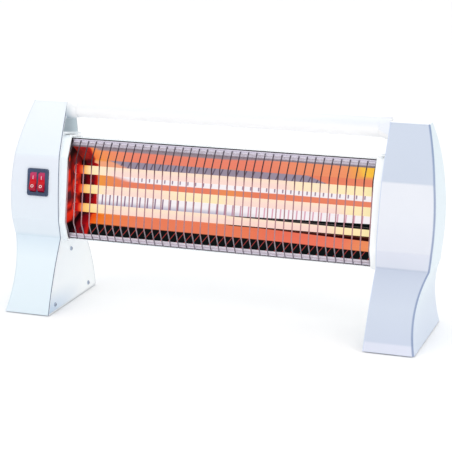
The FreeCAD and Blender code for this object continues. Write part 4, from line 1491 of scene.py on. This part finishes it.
def dress(nodes: Mapping[str, bpy.types.Object], names: Iterable[str], material: bpy.types.Material) -> None:
    """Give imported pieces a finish.

    Args:
        nodes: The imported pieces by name.
        names: Which of them.
        material: The finish.
    """
    for name in names:
        mesh = nodes[name].data
        mesh.materials.clear()
        mesh.materials.append(material)
        LOG.info("dressed %s in %s", name, material.name)


def new_piece(name: str, mesh_source: bmesh.types.BMesh, material: bpy.types.Material, body: str) -> None:
    """Turn a bmesh into a piece that rides on a body.

    Args:
        name: The piece's name.
        mesh_source: Its shape, in place, which is freed.
        material: Its finish.
        body: The body that it moves with.
    """
    mesh = bpy.data.meshes.new(name)
    mesh_source.to_mesh(mesh)
    mesh_source.free()
    piece = bpy.data.objects.new(name, mesh)
    piece.data.materials.append(material)
    bpy.context.scene.collection.objects.link(piece)
    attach(piece, body)
    LOG.info("made %s on %s", name, body)


@dataclass
class Stands:
    """The two moulded stands with their covers, screws and pads."""

    nodes: Mapping[str, bpy.types.Object]
    screw_kinds: tuple[str, ...] = ("_cover_screws", "_body_screws", "_handle_screw")
    cover_screws: Places = ((-47.3, 9.2), (44.0, 9.2), (2.5, 63.0))

    def build(self) -> None:
        """Dress every piece of both stands."""
        dress(self.nodes, ["left_stand_shell"], LEFT_STAND.material())
        dress(self.nodes, ["right_stand_shell"], RIGHT_STAND.material())
        dress(self.nodes, [side + "_inner_cover" for side in SIDES], COVER_PLASTIC.material())
        screws = [side + kind for side in SIDES for kind in self.screw_kinds]
        dress(self.nodes, screws, ScrewSteel("screw_steel", self.cover_screws).material())
        dress(self.nodes, [side + "_foot_pads" for side in SIDES] + ["cord_grommet"], RUBBER.material())


@dataclass
class Handle:
    """The carrying handle and its flared ends."""

    nodes: Mapping[str, bpy.types.Object]

    def build(self) -> None:
        """Dress the handle."""
        dress(self.nodes, ["handle_tube"], HANDLE_PLASTIC.material())
        dress(self.nodes, [side + "_handle_socket" for side in SIDES], SOCKET_PLASTIC.material())


@dataclass
class Head:
    """The glowing head: housing, reflector, tubes and guard."""

    nodes: Mapping[str, bpy.types.Object]

    def tube_places(self) -> Places:
        """Depth and height of each tube's axis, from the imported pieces.

        Returns:
            The places, in metres.
        """
        places = []
        for name in QUARTZ:
            low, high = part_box(name + "_quartz_tube")
            middle = (low + high) / 2
            places.append((middle.y, middle.z))
        return tuple(places)

    def build(self) -> None:
        """Dress every piece of the head."""
        enamelled = ["rear_housing"] + [side + "_end_ring" for side in SIDES]
        dress(self.nodes, enamelled, WHITE_ENAMEL.material())
        dress(self.nodes, ["reflector"], MirrorSheet("polished_sheet").material())
        plates = [side + "_end_plate" for side in SIDES]
        tubes = self.tube_places()
        dress(self.nodes, plates, HotPlate("hot_plate", tubes).material())
        dress(self.nodes, ["wire_guard"], WireSteel("guard_wire").material())
        for name, quartz in QUARTZ.items():
            dress(self.nodes, [name + "_quartz_tube"], quartz.material())
        dress(self.nodes, [name + "_heating_coil" for name in QUARTZ], GlowingWire("coil_wire").material())
        caps = [side + "_" + name + "_ceramic_cap" for side in SIDES for name in QUARTZ]
        dress(self.nodes, caps, LitCeramic("lit_ceramic", tubes).material())


@dataclass
class TwinSwitch:
    """The twin rocker switch, with generic marks on its rockers."""

    nodes: Mapping[str, bpy.types.Object]
    slot: str = "rocker_red"
    ring: float = 1.8 * MM
    ring_segments: int = 32
    stroke: float = 0.6 * MM
    bar: float = 4.0 * MM
    off_drop: float = 1.3 * MM
    proud: float = 0.12 * MM
    front_limit: float = -0.7
    normal_digits: int = 2

    def flats(self, node: str) -> list[tuple[Vector, Vector]]:
        """Find the upper and lower flat of a rocker's front.

        Args:
            node: The rocker.

        Returns:
            Middle and outward direction of each flat, the upper one first.
        """
        groups: dict[tuple[float, ...], list[bpy.types.MeshPolygon]] = {}
        for face in self.nodes[node].data.polygons:
            if face.normal.y < self.front_limit:
                outward = tuple(round(part, self.normal_digits) for part in face.normal)
                groups.setdefault(outward, []).append(face)
        largest = sorted(groups.values(), key=lambda faces: -sum(face.area for face in faces))[:2]
        found = []
        for faces in largest:
            area = sum(face.area for face in faces)
            middle = sum((face.center * face.area for face in faces), Vector()) / area
            found.append((middle, faces[0].normal.copy()))
        return sorted(found, key=lambda flat: -flat[0].z)

    def mark(self, name: str, node: str, middle: Vector, outward: Vector, shape: bmesh.types.BMesh,
             paint: bpy.types.Material) -> None:
        """Set a mark, drawn flat in X and Y, on a flat of a rocker.

        Args:
            name: The mark's name.
            node: The rocker, which is also its body.
            middle: Middle of the flat.
            outward: Direction that the flat faces.
            shape: The mark's outline, filled and flat.
            paint: Its finish.
        """
        faces = list(shape.faces)
        raised = bmesh.ops.extrude_face_region(shape, geom=faces)["geom"]
        tops = [item for item in raised if isinstance(item, bmesh.types.BMVert)]
        bmesh.ops.translate(shape, verts=tops, vec=(0, 0, self.proud))
        turn = Matrix((ACROSS, outward.cross(ACROSS), outward)).transposed().to_4x4()
        bmesh.ops.transform(shape, matrix=Matrix.Translation(middle) @ turn, verts=shape.verts)
        bmesh.ops.recalc_face_normals(shape, faces=shape.faces)
        new_piece(name, shape, paint, node)

    def on_mark(self) -> bmesh.types.BMesh:
        """Draw the upright stroke of the on mark: a square of side 1, scaled.

        Returns:
            The mark, flat in X and Y.
        """
        shape = bmesh.new()
        bmesh.ops.create_grid(shape, x_segments=1, y_segments=1, size=0.5)
        bmesh.ops.scale(shape, vec=(self.stroke, self.bar, 1), verts=shape.verts)
        return shape

    def off_mark(self) -> bmesh.types.BMesh:
        """Draw the ring of the off mark.

        Returns:
            The mark, flat in X and Y.
        """
        shape = bmesh.new()
        bmesh.ops.create_circle(shape, cap_ends=False, segments=self.ring_segments, radius=self.ring)
        grown = bmesh.ops.extrude_edge_only(shape, edges=list(shape.edges))["geom"]
        inner = [item for item in grown if isinstance(item, bmesh.types.BMVert)]
        share = 1 - self.stroke / self.ring
        bmesh.ops.scale(shape, vec=(share, share, 1), verts=inner)
        return shape

    def build(self) -> None:
        """Dress the switch and mark its rockers."""
        dress(self.nodes, ["switch_frame"], SWITCH_PLASTIC.material())
        rockers = [side + "_rocker" for side in SIDES]
        dress(self.nodes, rockers, LitPlastic("rocker_red").material())
        paint = MARK_PAINT.material()
        for rocker in rockers:
            upper, (middle, outward) = self.flats(rocker)
            self.mark(rocker + "_on_mark", rocker, *upper, self.on_mark(), paint)
            down = ACROSS.cross(outward) * self.off_drop
            self.mark(rocker + "_off_mark", rocker, middle + down, outward, self.off_mark(), paint)


@dataclass
class Internals:
    """What the stands hide: terminals, leads, tip-over switch and terminal block."""

    nodes: Mapping[str, bpy.types.Object]

    def build(self) -> None:
        """Dress the inner pieces."""
        dress(self.nodes, ["switch_terminals", "bus_bar"], BRASS.material())
        dress(self.nodes, ["terminal_block", "tip_plunger"], BLOCK_PLASTIC.material())
        dress(self.nodes, ["tip_switch"], SWITCH_PLASTIC.material())
        dress(self.nodes, ["coil_leads", "supply_leads", "return_lead"], LEAD_SLEEVE.material())


class Lamp(NamedTuple):
    """A soft square light: where it hangs, what it points at, its side in metres and its watts."""

    name: str
    place: tuple[float, float, float]
    target: tuple[float, float, float]
    side: float
    power: float


@dataclass
class Studio:
    """Pale floor, soft light and the camera."""

    floor_half: float = 24.0
    floor_tone: Colour = srgb(252, 252, 252)
    floor_fibre: Colour = srgb(248, 248, 249)
    fibre: Clouds = Clouds(40.0, 3.0)
    fibre_share: float = 0.3
    floor_rough: float = 0.7
    floor_specular: float = 0.1
    zenith: float = 1.25
    horizon: float = 0.6
    lamps: tuple[Lamp, ...] = (
        Lamp("key", (-1.2, -1.4, 1.8), (0.0, 0.0, 0.1), 1.2, 3.0),
        Lamp("top", (0.2, 0.3, 2.2), (0.0, 0.0, 0.0), 1.6, 2.0),
        Lamp("fill", (1.7, -0.9, 0.8), (0.0, 0.0, 0.12), 1.2, 4.5))
    camera_place: tuple[float, float, float] = (0.5662, -1.5708, 0.5545)
    azimuth: float = 19.5716
    elevation: float = 15.0072
    roll: float = -0.1994
    focal_pixels: float = 1534.865
    image_pixels: int = 452
    sensor: float = 36.0

    def floor(self) -> None:
        """Lay the floor."""
        shape = bmesh.new()
        bmesh.ops.create_grid(shape, x_segments=1, y_segments=1, size=self.floor_half)
        mesh = bpy.data.meshes.new("floor")
        shape.to_mesh(mesh)
        shape.free()
        plane = bpy.data.objects.new("floor", mesh)
        graph = Graph("floor_paper")
        fibre = graph.noise(self.fibre) * self.fibre_share
        mesh.materials.append(graph.surface(
            base_color=graph.mix(fibre, self.floor_tone, self.floor_fibre), roughness=self.floor_rough,
            specular_ior_level=self.floor_specular))
        bpy.context.scene.collection.objects.link(plane)

    def light(self, lamp: Lamp) -> None:
        """Hang one soft light.

        Args:
            lamp: The light.
        """
        data = bpy.data.lights.new(lamp.name, "AREA")
        data.size = lamp.side
        data.energy = lamp.power
        hung = bpy.data.objects.new(lamp.name, data)
        hung.location = lamp.place
        aim = Vector(lamp.target) - Vector(lamp.place)
        hung.rotation_euler = aim.to_track_quat("-Z", "Y").to_euler()
        bpy.context.scene.collection.objects.link(hung)

    def world(self) -> None:
        """Fill the room with white light that is strongest overhead."""
        world = bpy.data.worlds.new("studio")
        world.use_nodes = True
        tree = world.node_tree
        background = tree.nodes["Background"]
        background.inputs["Color"].default_value = (1, 1, 1, 1)
        axes = tree.nodes.new("ShaderNodeSeparateXYZ")
        fade = tree.nodes.new("ShaderNodeMapRange")
        fade.interpolation_type = "SMOOTHSTEP"
        fade.inputs["To Min"].default_value = self.horizon
        fade.inputs["To Max"].default_value = self.zenith
        tree.links.new(tree.nodes.new("ShaderNodeTexCoord").outputs["Generated"], axes.inputs[0])
        tree.links.new(axes.outputs["Z"], fade.inputs["Value"])
        tree.links.new(fade.outputs[0], background.inputs["Strength"])
        bpy.context.scene.world = world

    def camera(self) -> None:
        """Place the camera at the photograph's angle."""
        turn = math.radians(self.azimuth)
        lift = math.radians(self.elevation)
        back = Vector((math.sin(turn) * math.cos(lift), -math.cos(turn) * math.cos(lift), math.sin(lift)))
        right = Vector((math.cos(turn), math.sin(turn), 0))
        level = Matrix((right, back.cross(right), back)).transposed().to_4x4()
        data = bpy.data.cameras.new("camera")
        data.sensor_width = self.sensor
        data.lens = self.sensor * self.focal_pixels / self.image_pixels
        camera = bpy.data.objects.new("camera", data)
        rolled = level @ Matrix.Rotation(math.radians(self.roll), 4, "Z")
        camera.matrix_world = Matrix.Translation(self.camera_place) @ rolled
        bpy.context.scene.collection.objects.link(camera)
        bpy.context.scene.camera = camera

    def build(self) -> None:
        """Set the whole studio up."""
        self.floor()
        self.world()
        for lamp in self.lamps:
            self.light(lamp)
        self.camera()
        bpy.context.scene.view_settings.view_transform = "Standard"


def main() -> None:
    """Load the frame, dress each sub-assembly and set the studio up."""
    logging.basicConfig(level=logging.INFO, format="%(message)s")
    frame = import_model()
    nodes = frame["nodes"]
    assemblies = (Stands(nodes), Handle(nodes), Head(nodes), TwinSwitch(nodes), Internals(nodes), Studio())
    for assembly in assemblies:
        LOG.info("building %s", type(assembly).__name__)
        assembly.build()


if __name__ == "__main__":
    main()
